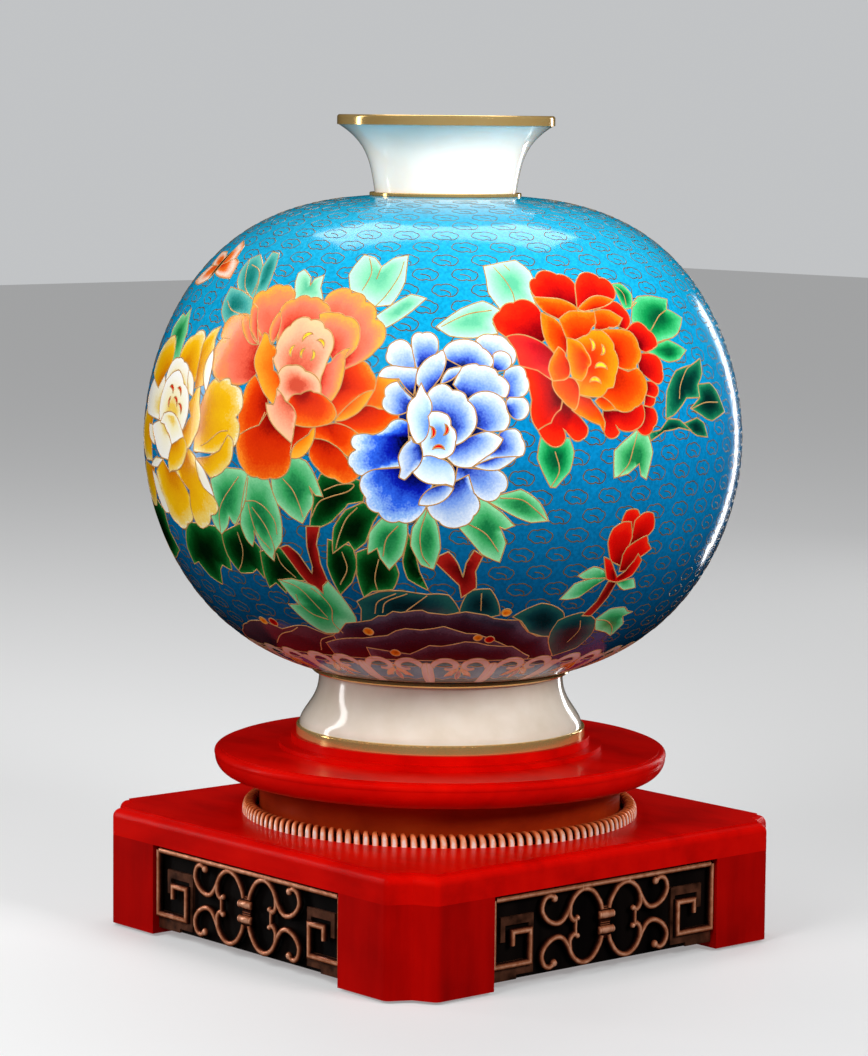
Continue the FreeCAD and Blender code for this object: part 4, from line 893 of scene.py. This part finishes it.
def borders(triangles, owner):
    """Edges whose two sides belong to different cells, or to a cell and the ground."""
    seen = {}
    for (a, b, c), who in zip(triangles.tolist(), owner.tolist()):
        for pair in ((a, b), (b, c), (c, a)):
            seen.setdefault((min(pair), max(pair)), set()).add((who, pair))
    return [pair for pair, sides in seen.items() if len({who for who, _ in sides}) > 1 or len(sides) == 1]


def chains(edges):
    """Runs of edges between junctions, and closed loops."""
    links = {}
    for a, b in edges:
        links.setdefault(a, set()).add(b)
        links.setdefault(b, set()).add(a)
    used, runs, closed = set(), [], []

    def walk(start, step):
        run = [start, step]
        used.add(frozenset((start, step)))
        while len(links[run[-1]]) == 2 and run[-1] != start:
            ahead = [n for n in sorted(links[run[-1]]) if frozenset((run[-1], n)) not in used]
            if not ahead:
                break
            used.add(frozenset((run[-1], ahead[0])))
            run.append(ahead[0])
        return run

    for vertex in sorted(links):
        if len(links[vertex]) != 2:
            for step in sorted(links[vertex]):
                if frozenset((vertex, step)) not in used:
                    runs.append(walk(vertex, step))
                    closed.append(False)
    for vertex in sorted(links):
        for step in sorted(links[vertex]):
            if frozenset((vertex, step)) not in used:
                run = walk(vertex, step)
                loop = run[0] == run[-1]
                runs.append(run[:-1] if loop else run)
                closed.append(loop)
    return runs, closed


def thinned(line, least=0.35):
    """The line without points that crowd each other."""
    keep = [line[0]]
    for point in line[1:-1]:
        if np.linalg.norm(point - keep[-1]) > least:
            keep.append(point)
    keep.append(line[-1])
    return np.array(keep)


def wires_of(net):
    """Lines between the cells of a triangulated picture, and which of them are closed."""
    points, triangles, owner = net
    runs, closed = chains(borders(triangles, owner))
    return [thinned(points[run]) for run in runs], closed


def clipped(line, wanted):
    """The stretches of a line where wanted is true."""
    runs, run = [], []
    for point, good in zip(line, wanted):
        if good:
            run.append(point)
        elif run:
            runs.append(run)
            run = []
    if run:
        runs.append(run)
    return [np.array(r) for r in runs if len(r) > 2]


def lay_wires(name, lines, closed, mirror=None):
    """Gilt wires along lines; mirror is what u and its mirror image add up to."""
    if mirror is None:
        verts, faces, _ = sweep(lines, WIRE_HALF, WIRE_SECTION, on_body, closed)
    else:
        section = [(-across, height, tone) for across, height, tone in WIRE_SECTION]
        verts, faces, _ = sweep(
            lines, WIRE_HALF, section, lambda x, y, height: on_body(mirror - x, y, height), closed)
    finish_piece(name, verts, faces, [gold_wire], "vase")


def lay_enamel(name, cells, net, lift, shifts=(0.0,), mirror=None, repaint=None, spread=stretched):
    """One piece of enamel for some cells of a picture, once for each shift along u."""
    points, triangles, owner = net
    faces, tone, indices, materials, spots = [], [], [], [], []
    for shift in shifts:
        for index, (_, style, outline, root) in cells:
            mine = triangles[owner == index]
            if not len(mine):
                continue
            used, renumbered = np.unique(mine, return_inverse=True)
            renumbered = renumbered.reshape(-1, 3) + len(tone)
            material = paint_materials[(repaint or {}).get(style, style)]
            if material not in materials:
                materials.append(material)
            faces += (renumbered if mirror is None else renumbered[:, ::-1]).tolist()
            indices += [materials.index(material)] * len(mine)
            tone += spread(rim_share(points[used], outline, root)).tolist()
            spots.append(points[used] + np.array([shift, 0.0]))
    flat = np.concatenate(spots)
    u = flat[:, 0] if mirror is None else mirror - flat[:, 0]
    finish_piece(name, on_body(u, flat[:, 1], lift), faces, materials, "vase",
                 normals=body_normal(u, flat[:, 1]), tone=tone, indices=indices)


picture = Picture()
picture.add("leaves", LEAVES)
picture.add("rocks", ROCKS, (0.0, -90.0))
for word in PEBBLES.split():
    *numbers, style = word.split(",")
    x, y, size = map(float, numbers)
    picture.cell("rocks", style, sampled([(x - size * 0.7, y, 0.8), (x + size * 0.7, y, 0.8)]))
picture.add("leaves", FRONT_LEAF)
picture.add("bud", BUD, (66.0, -40.0))
picture.add("peony_coral", CORAL, (-49.0, 24.0), PETAL_LOBES)
picture.add("peony_scarlet", SCARLET, (50.0, 32.0), PETAL_LOBES)
picture.add("peony_golden", GOLDEN, (-108.0, 11.0), PETAL_LOBES)
picture.add("peony_azure", AZURE, (-1.0, 9.0), PETAL_LOBES)
picture.add("butterfly", BUTTERFLY, (-120.0, 64.0))

top_map = raster(picture)
scene_net = triangulate(picture, (-152.0, -76.0), (120.0, 78.0), lambda p: painted(top_map, p))
scene_lines, scene_closed = wires_of(scene_net)
vein_lines = [run for line in picture.veins for run in clipped(line, painted(top_map, line))]
BACK = TURN / 2 - 32.0          # the back's picture is the front's, mirrored about the far side
BACK_PAINTS = {
    "upper": "cream", "lower": "cream", "heart": "heartw", "deep": "amber", "orange": "white",
    "amber": "white", "red": "blue", "crimson": "deepblue", "flame": "blue", "flare": "blueheart",
    "cream": "flame", "white": "orange", "heartw": "flare",
    "blue": "upper", "deepblue": "lower", "blueheart": "heart", "midnight": "deep",
    "crescent_y": "crescent_r", "crescent_r": "crescent_y"}
for mirror, repaint, ending in ((None, {}, ""), (BACK, BACK_PAINTS, "_back")):
    for group in dict.fromkeys(cell[0] for cell in picture.cells):
        members = [(i, cell) for i, cell in enumerate(picture.cells) if cell[0] == group]
        lay_enamel(
            group + ending, members, scene_net, -0.07, mirror=mirror, repaint=repaint)
    lay_wires("scene_wires" + ending, scene_lines + vein_lines,
              scene_closed + [False] * len(vein_lines), mirror)

# ---- turquoise ground, a surface of revolution just under the cells

GROUND_TOP = v_at_radius(24.2, 1)       # under the neck ring
GROUND_LOW = v_at_radius(41.5, -1)      # inside the foot bead
GROUND_LIFT = -0.10
GROUND_ROWS, GROUND_TURNS = 130, 320
ground_r, ground_z, ground_nr, ground_nz = across_profile(np.linspace(GROUND_LOW, GROUND_TOP, GROUND_ROWS))
ground_r, ground_z = ground_r + GROUND_LIFT * ground_nr, ground_z + GROUND_LIFT * ground_nz
angle = np.linspace(0.0, 2 * np.pi, GROUND_TURNS, endpoint=False)[:, None]
ground_verts = np.stack(
    [ground_r * np.cos(angle), ground_r * np.sin(angle), ground_z * np.ones_like(angle)], axis=-1)
sharpen(finish_piece("enamel_ground", ground_verts.reshape(-1, 3) * MM,
                     grid_faces(GROUND_TURNS, GROUND_ROWS, True), [turquoise], "vase",
                     replaces=("body_enamel",)), 80.0)

# ---- border of scrolls and florets round the foot: one repeat about its floret's axis, then all round

BORDER = """
base -16.53,-99 -16.53,-90 16.53,-90 16.53,-99
arch -16.53,-93 -16.53,-77.5,-.35 0,-78,-.35 16.53,-77.5 16.53,-93 12,-92,.1 8,-94 4,-92,.1 -4,-92 -8,-94,.1
  -12,-92
"""
HALF_BORDER = """
pink -16.53,-99 -16.53,-77.8 -14.4,-78.4,.1 -13.6,-84,.05 -13.8,-99
pink -14.6,-79,.30 -8,-74.4,.30 -.7,-78.4,.35 -3,-83.6,.2 -7.6,-83.2,.4 -7.2,-81.6,-.2 -4,-81.6,-.4
  -3.6,-79.2,-.25 -8,-77.2,-.25 -13,-81.6,.2
orange -.6,-81.6,.25 -7.6,-90,-.1 -3.4,-88.6,-.1 -.6,-84
"""
BORDER_COUNT = 19
BORDER_PITCH = TURN / BORDER_COUNT
BORDER_START = 9.5      # u of one floret's axis
border = Picture()
border.add("border", BORDER)
for sign in (1.0, -1.0):
    for style, cell in read_block(HALF_BORDER):
        border.cell("border", style, sampled(cell, 0.9) * np.array([sign, 1.0]), (sign * -8.0, -96.0))
border.cell("border", "bud", sampled([(0, -83, .12), (-1.6, -88.6, .1), (0, -94, .1), (1.6, -88.6, .12)]),
            (0.0, -84.0))
border.cell("border", "knot", sampled([(-0.9, -80.2, 0.9), (0.9, -80.2, 0.9)], 0.5))
border_net = triangulate(border, (-16.0, -98.5), (16.2, -75.0),
                         lambda p: np.any([inside(p, cell[2]) for cell in border.cells], axis=0))
border_lines, border_closed = wires_of(border_net)
border_shifts = [BORDER_START + repeat * BORDER_PITCH for repeat in range(BORDER_COUNT)]
lay_enamel("border_enamel", list(enumerate(border.cells)), border_net, -0.05, border_shifts,
           spread=lambda tone: tone)
lay_wires("border_wires", [line + np.array([shift, 0.0]) for shift in border_shifts for line in border_lines],
          border_closed * BORDER_COUNT)

# ---- clouds all over the ground

CLOUD = [(-3.3, .6, .5), (-1, 1.6, .35), (2.6, 1, .65), (3.5, -1.1, .5), (.5, -1.9, .4), (-2.6, -1.3, .65)]
CLOUD_HOOK = [(1.7, -2.0), (1.5, -1.0), (0.2, -0.3), (-1.3, -0.1)]
CLOUD_SCALE = 1.1
CLOUD_PITCH = 12.3
CLOUD_WIRE_HALF = 0.19
CLOUD_SECTION = ((1.0, -0.10, 1.0), (0.0, -0.01, 1.0), (-1.0, -0.10, 1.0))
MIDDLE_ROW, ROWS_BELOW, STEP_BELOW, ROWS_ABOVE, STEP_ABOVE = -4.0, 10, 6.29, 19, 6.09
BORDER_ROOM, NECK_ROOM = 24.0, 4.0      # kept free of clouds at the two ends
QUARTERS = 4


def free_of_scene(line):
    """True where neither picture covers the ground."""
    free = np.ones(len(line), dtype=bool)
    for u in (line[:, 0], BACK - line[:, 0]):
        free &= ~painted(top_map, np.stack([(u + TURN / 2) % TURN - TURN / 2, line[:, 1]], axis=1))
    return free


cloud_shapes = (
    (sampled(CLOUD, 0.8) * CLOUD_SCALE, True), (smooth_line(CLOUD_HOOK, 0.9) * CLOUD_SCALE, False))
cloud_rows = [MIDDLE_ROW - STEP_BELOW * k for k in range(ROWS_BELOW + 1)]
cloud_rows += [MIDDLE_ROW + STEP_ABOVE * k for k in range(1, ROWS_ABOVE + 1)]
cloud_lines = [[] for _ in range(QUARTERS)]
for number, v0 in enumerate(cloud_rows):
    if not GROUND_LOW + BORDER_ROOM < v0 < GROUND_TOP - NECK_ROOM:
        continue
    widening = BODY_RADIUS / across_profile(v0)[0]
    count = round(TURN / widening / CLOUD_PITCH)
    for k in range(count):
        u0 = (k - count // 2 + 0.5 * (number % 2)) * TURN / count
        lines = cloud_lines[math.floor((u0 + TURN / 2) / TURN * QUARTERS) % QUARTERS]
        for shape, loop in cloud_shapes:
            line = np.stack([u0 + shape[:, 0] * widening, v0 + shape[:, 1]], axis=1)
            free = free_of_scene(line)
            if free.all():
                lines.append((line, loop))
                continue
            if loop and free.any():
                first = int(np.argmin(free))
                line, free = np.roll(line, -first, axis=0), np.roll(free, -first)
            lines += [(run, False) for run in clipped(line, free)]
for quarter, lines in enumerate(cloud_lines):
    verts, faces, _ = sweep([line for line, _ in lines], CLOUD_WIRE_HALF, CLOUD_SECTION, on_body,
                            [loop for _, loop in lines])
    finish_piece(f"cloud_wires_{quarter + 1}", verts, faces, [shaded_cloud_wire], "vase")

# ---- cast openwork, a panel on each face of the stand: x runs across from the middle, y up from the floor

PANEL_SETBACK = 1.0
PANEL_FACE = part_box("top_board")[1][0] / MM - PANEL_SETBACK
PANEL_DEPTH = 1.6
# the third number of each row is the bar's painted light: brightest on the crown as a painted highlight,
# darkest on the sides and back as painted shade
BAR_SECTION = (
    (1.0, -PANEL_DEPTH, 0.0), (1.0, -0.8, 0.1), (0.86, -0.34, 0.4), (0.5, -0.08, 0.8), (0.0, 0.0, 1.0),
    (-0.5, -0.08, 0.8), (-0.86, -0.34, 0.4), (-1.0, -0.8, 0.1), (-1.0, -PANEL_DEPTH, 0.0))
# the set-back waist and its ridges take low tones, as painted shade
WAIST_SECTION = ((1.0, -1.5, 0.1), (0.98, -0.75, 0.2), (-0.98, -0.75, 0.2), (-1.0, -1.5, 0.1))
RIDGE_SECTION = ((1.0, -0.9, 0.3), (0.6, -0.5, 0.7), (-0.6, -0.5, 0.7), (-1.0, -0.9, 0.3))
SCROLL_LEVEL = 16.6     # the scroll's centre above the floor; its lines' y is from there
FRET = [(48.0, 29.7), (48.0, 8.1), (32.6, 8.1), (32.6, 18.5), (40.0, 18.5), (40.0, 14.2)]
TOP_BAR = [(-47.2, 29.65), (47.2, 29.65)]
OVAL = [(1.5, 4.4), (2.6, 7.2), (5.6, 10.8), (9.8, 12.0), (13.8, 9.8), (16.6, 5.2)]
CURL = [(19.0, 2.7), (22.0, 2.3), (25.6, 4.1), (27.6, 7.3), (26.6, 10.6), (24.2, 11.6), (22.3, 10.5)]
HOOK = [(15.4, 7.2), (15.5, 4.0), (13.9, 2.3), (12.3, 2.9)]
TIE = [(10.3, 11.6), (10.3, 13.6)]
LINK = [(13.1, -2.6), (13.1, 2.6)]
WAIST = [(0.0, -5.4), (0.0, 5.4)]
WAIST_RIDGES = (5.0, 4.3, -0.2, -0.9)
KNOBS = ((CURL[-1], 1.4), (HOOK[-1], 1.05))     # place and radius
KNOB_RINGS, KNOB_SIDES = 5, 12
BARREL = [(3.4, 0.2), (3.4, 1.1), (3.1, 1.38), (2.7, 1.4), (2.6, 1.26), (2.4, 1.26), (2.2, 1.38), (0.0, 1.42)]
BARREL_RISE = 2.5       # scroll's centre to a barrel's axis
BARREL_SINK = 0.55      # barrel's axis behind the bars' face
BARREL_STEPS = 9


def on_scroll(path, across=1.0, up=1.0):
    """A line of the scroll, mirrored where a sign is negative, at its place on the panel."""
    return np.array([(across * x, SCROLL_LEVEL + up * y) for x, y in path])


def panel_place(index):
    """Maps panel coordinates to the stand's face number index, counted anticlockwise from the front."""
    cosine, sine = round(math.cos(index * math.pi / 2)), round(math.sin(index * math.pi / 2))

    def place(x, y, height):
        depth = -(PANEL_FACE + height)
        return np.stack([cosine * x - sine * depth, sine * x + cosine * depth, y], axis=-1) * MM
    return place


def knob(centre, radius, place):
    """Low dome that ends a curl."""
    rise, turn = np.meshgrid(np.linspace(0.0, 0.5 * np.pi, KNOB_RINGS),
                             np.arange(KNOB_SIDES) * 2 * np.pi / KNOB_SIDES, indexing="ij")
    reach = radius * np.cos(rise)
    verts = place((centre[0] + reach * np.cos(turn)).ravel(), (centre[1] + reach * np.sin(turn)).ravel(),
                  (-0.9 + 1.15 * np.sin(rise)).ravel())
    faces = [(i * KNOB_SIDES + k, i * KNOB_SIDES + (k + 1) % KNOB_SIDES,
              (i + 1) * KNOB_SIDES + (k + 1) % KNOB_SIDES, (i + 1) * KNOB_SIDES + k)
             for i in range(KNOB_RINGS - 1) for k in range(KNOB_SIDES)]
    # painted light: the dome is brightest on its crown as a painted highlight and darkest at its foot as
    # painted shade
    return verts, faces, (0.3 + 0.8 * np.sin(rise)).ravel()


def barrel(up, place):
    """Front half of a small level barrel with a fine groove near each end."""
    along, radius = np.array(BARREL + [(-x, r) for x, r in BARREL[-2::-1]]).T
    x, radius = np.repeat(along, BARREL_STEPS), np.repeat(radius, BARREL_STEPS)
    turn = np.tile(np.linspace(-0.5 * np.pi, 0.5 * np.pi, BARREL_STEPS), len(along))
    verts = place(x, SCROLL_LEVEL + up + radius * np.sin(turn), radius * np.cos(turn) - BARREL_SINK)
    # painted light: the tone is highest where the barrel faces straight out and falls to painted shade
    # towards its upper and lower sides
    tone = 0.1 + 0.9 * (radius / 1.4) * np.cos(turn) ** 0.5
    return verts, grid_faces(len(along), BARREL_STEPS, False), tone


wide_bars, scroll_bars, link_bars, knobs = [], [], [], []
for across in (1.0, -1.0):
    wide_bars.append(np.array(FRET) * np.array([across, 1.0]))
    for up in (1.0, -1.0):
        scroll_bars += [on_scroll(smooth_line(line, 0.8), across, up) for line in (OVAL + CURL, HOOK)]
        knobs += [(on_scroll([spot], across, up)[0], radius) for spot, radius in KNOBS]
    scroll_bars.append(on_scroll(TIE, across))
    link_bars.append(on_scroll(LINK, across))
wide_bars.append(np.array(TOP_BAR))
ridges = [on_scroll([(-2.0, y), (2.0, y)]) for y in WAIST_RIDGES]
for index, side in enumerate(SIDES):
    place = panel_place(index)
    parts = [sweep(wide_bars, 1.05, BAR_SECTION, place, caps=True),
             sweep(scroll_bars, 1.0, BAR_SECTION, place, caps=True),
             sweep(link_bars, 0.7, BAR_SECTION, place, caps=True),
             sweep([on_scroll(WAIST)], 2.1, WAIST_SECTION, place, caps=True),
             sweep(ridges, 0.2, RIDGE_SECTION, place, caps=True)]
    parts += [knob(centre, radius, place) for centre, radius in knobs]
    parts += [barrel(up, place) for up in (-BARREL_RISE, BARREL_RISE)]
    verts, faces, tone = [], [], []
    for part_verts, part_faces, part_tone in parts:
        start = sum(len(v) for v in verts)
        verts.append(part_verts)
        faces += [tuple(n + start for n in f) for f in part_faces]
        tone.append(part_tone)
    sharpen(finish_piece("cast_openwork_" + side, np.concatenate(verts), faces, [copper_bars], "stand",
                         tone=np.concatenate(tone), replaces=("openwork_" + side,)), 50.0)

# ---- copper ring: slanted rounded ribs round the hub

RIBS, RIB_STEPS, RING_STEPS = 130, 12, 15
RIB_SHARE, RIB_DEPTH, RIB_SLANT = 0.74, 0.36, -0.25     # of the pitch, of the ring's section, of the pitch
RING_WIDTH = 4.7
RING_SQUARENESS = 0.75      # below 1 its section is squarer than half an ellipse
ring_low, ring_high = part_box("gadrooned_ring")
RING_OUTER, RING_BASE, RING_HEIGHT = ring_high[0] / MM, ring_low[2] / MM, (ring_high[2] - ring_low[2]) / MM
ring_count = RIBS * RIB_STEPS
turn, arch = np.meshgrid(
    np.arange(ring_count) / ring_count, np.linspace(0.0, np.pi, RING_STEPS), indexing="ij")
share = (turn * RIBS + RIB_SLANT * np.cos(arch)) % 1.0
swell = np.sqrt(np.maximum(0.0, 1.0 - np.abs((2.0 * share - 1.0) / RIB_SHARE) ** 3))
scale = 1.0 - RIB_DEPTH * (1.0 - swell)
outward = np.sign(np.cos(arch))
ring_r = RING_OUTER - RING_WIDTH / 2 * (1.0 - scale * outward * np.abs(np.cos(arch)) ** RING_SQUARENESS)
ring_z = RING_BASE + RING_HEIGHT * scale * np.sin(arch) ** RING_SQUARENESS
turn = turn * 2 * np.pi
ring_verts = np.stack([ring_r * np.cos(turn), ring_r * np.sin(turn), ring_z], axis=-1).reshape(-1, 3) * MM
# painted light: each rib is bright on its crown and on the ring's outer side, with painted shade in the gaps
# between ribs and on the inner side that faces the hub
ring_light_and_shade = swell * (0.62 + 0.4 * outward * np.cos(arch) ** 2)
finish_piece("ribbed_ring", ring_verts, grid_faces(ring_count, RING_STEPS, True), [copper_ring], "stand",
             tone=ring_light_and_shade.ravel(), replaces=("gadrooned_ring",))

# ---- carried-over CAD nodes

NODE_MATERIALS = (
    (white_enamel, "neck_enamel"),
    (foot_enamel, "foot_enamel"),
    (gilt, "lip_band neck_ring foot_bead foot_band"),
    (red_lit_top, "turntable_disc top_board"),
    (red_hub, "turntable_hub"),
    (red_shaded_upright, "leg_front leg_right leg_rear leg_left"),
    (black_wood, "apron_front apron_right apron_rear apron_left"),
    (dark_bronze, "backing_front backing_right backing_rear backing_left"),
    (copper, "copper_shell_upper copper_shell_lower copper_neck copper_foot"),
    (counter_enamel, "inner_lining underside_enamel"),
    (steel, "bearing_race_lower bearing_race_upper bearing_balls race_screws_lower race_screws_upper "
            "pivot_bolt pivot_washer pivot_nut"),
    (plain_wood, "leg_dowels disc_dowels"),
    (felt, "foot_pads"))
for material, nodes in NODE_MATERIALS:
    for node in nodes.split():
        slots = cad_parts[node].data.materials
        slots.clear()
        slots.append(material)

# ---- stage, lights and camera

scene = bpy.context.scene
scene.view_settings.view_transform = "Standard"
FLOOR_HALF = 4.0        # metres
floor_mesh = bpy.data.meshes.new("floor")
floor_mesh.from_pydata([(FLOOR_HALF * x, FLOOR_HALF * y, 0) for x, y in ((-1, -1), (1, -1), (1, 1), (-1, 1))],
                       [], [(0, 1, 2, 3)])
floor = bpy.data.objects.new("floor", floor_mesh)
scene.collection.objects.link(floor)
floor_material, _, _ = new_material("pale_floor", Roughness=0.55, Base_Color=colour("c4c4c4"),
                                    Emission_Color=colour("dcdcdc"), Emission_Strength=0.4)
floor_mesh.materials.append(floor_material)
floor.visible_glossy = False
floor.visible_diffuse = False

# the world lights the vase dimly, isn't mirrored in it, and is pale behind it
world = bpy.data.worlds.new("studio")
scene.world = world
world.use_nodes = True
world.cycles_visibility.glossy = False
nodes, links = world.node_tree.nodes, world.node_tree.links
mix = nodes.new("ShaderNodeMixShader")
links.new(nodes.new("ShaderNodeLightPath").outputs["Is Camera Ray"], mix.inputs[0])
for socket, background, code, strength in ((1, nodes["Background"], "d8dce0", 0.25),
                                           (2, nodes.new("ShaderNodeBackground"), "dcdee0", 0.75)):
    background.inputs["Color"].default_value = colour(code)
    background.inputs["Strength"].default_value = strength
    links.new(background.outputs[0], mix.inputs[socket])
links.new(mix.outputs[0], nodes["World Output"].inputs["Surface"])

CAMERA_AZIMUTH = 49.37
CENTRE = Vector((0.0, 0.0, 0.15))


def softbox(name, azimuth, elevation, distance, width, height, power, glossy=True, rise=0.0, spread=180.0):
    """Area light that faces a point rise above the centre; azimuth counts from the camera's, to the right.

    Lengths are metres, angles degrees and power watts. Without glossy it isn't mirrored."""
    aim = CENTRE + Vector((0.0, 0.0, rise))
    a = math.radians(CAMERA_AZIMUTH + azimuth)
    e = math.radians(elevation)
    place = aim + distance * Vector((math.sin(a) * math.cos(e), -math.cos(a) * math.cos(e), math.sin(e)))
    light = bpy.data.lights.new(name, "AREA")
    light.shape = "RECTANGLE"
    light.size, light.size_y = width, height
    light.energy = power
    light.spread = math.radians(spread)
    lamp = bpy.data.objects.new(name, light)
    lamp.location = place
    lamp.rotation_euler = (place - aim).to_track_quat("Z", "Y").to_euler()
    lamp.visible_glossy = glossy
    scene.collection.objects.link(lamp)


softbox("left_softbox", -104.0, 12.0, 1.2, 0.14, 0.9, 2.2)
softbox("right_softbox", 148.0, -2.0, 1.2, 0.12, 0.7, 1.8)
softbox("left_fill", -42.0, 29.0, 0.95, 0.6, 0.6, 8.2, glossy=False)
softbox("right_fill", 48.0, 17.0, 0.75, 0.3, 0.3, 1.1, glossy=False, rise=0.12, spread=62.0)
softbox("top_softbox", 180.0, 62.0, 1.3, 1.0, 0.5, 7.0)

CAMERA_LENS, CAMERA_PITCH, CAMERA_ROLL = 126.0, 6.353, 0.55
CAMERA_PLACE = (0.9342, -0.8052, 0.2741)
camera_data = bpy.data.cameras.new("camera")
camera_data.lens = CAMERA_LENS
camera = bpy.data.objects.new("camera", camera_data)
scene.collection.objects.link(camera)
scene.camera = camera
azimuth, pitch, roll = (math.radians(angle) for angle in (CAMERA_AZIMUTH, CAMERA_PITCH, CAMERA_ROLL))
forward = Vector(
    (-math.sin(azimuth) * math.cos(pitch), math.cos(azimuth) * math.cos(pitch), -math.sin(pitch)))
level_right = Vector((math.cos(azimuth), math.sin(azimuth), 0.0))
right = math.cos(roll) * level_right + math.sin(roll) * level_right.cross(forward)
camera.matrix_world = Matrix((right, right.cross(forward), -forward)).transposed().to_4x4()
camera.location = CAMERA_PLACE
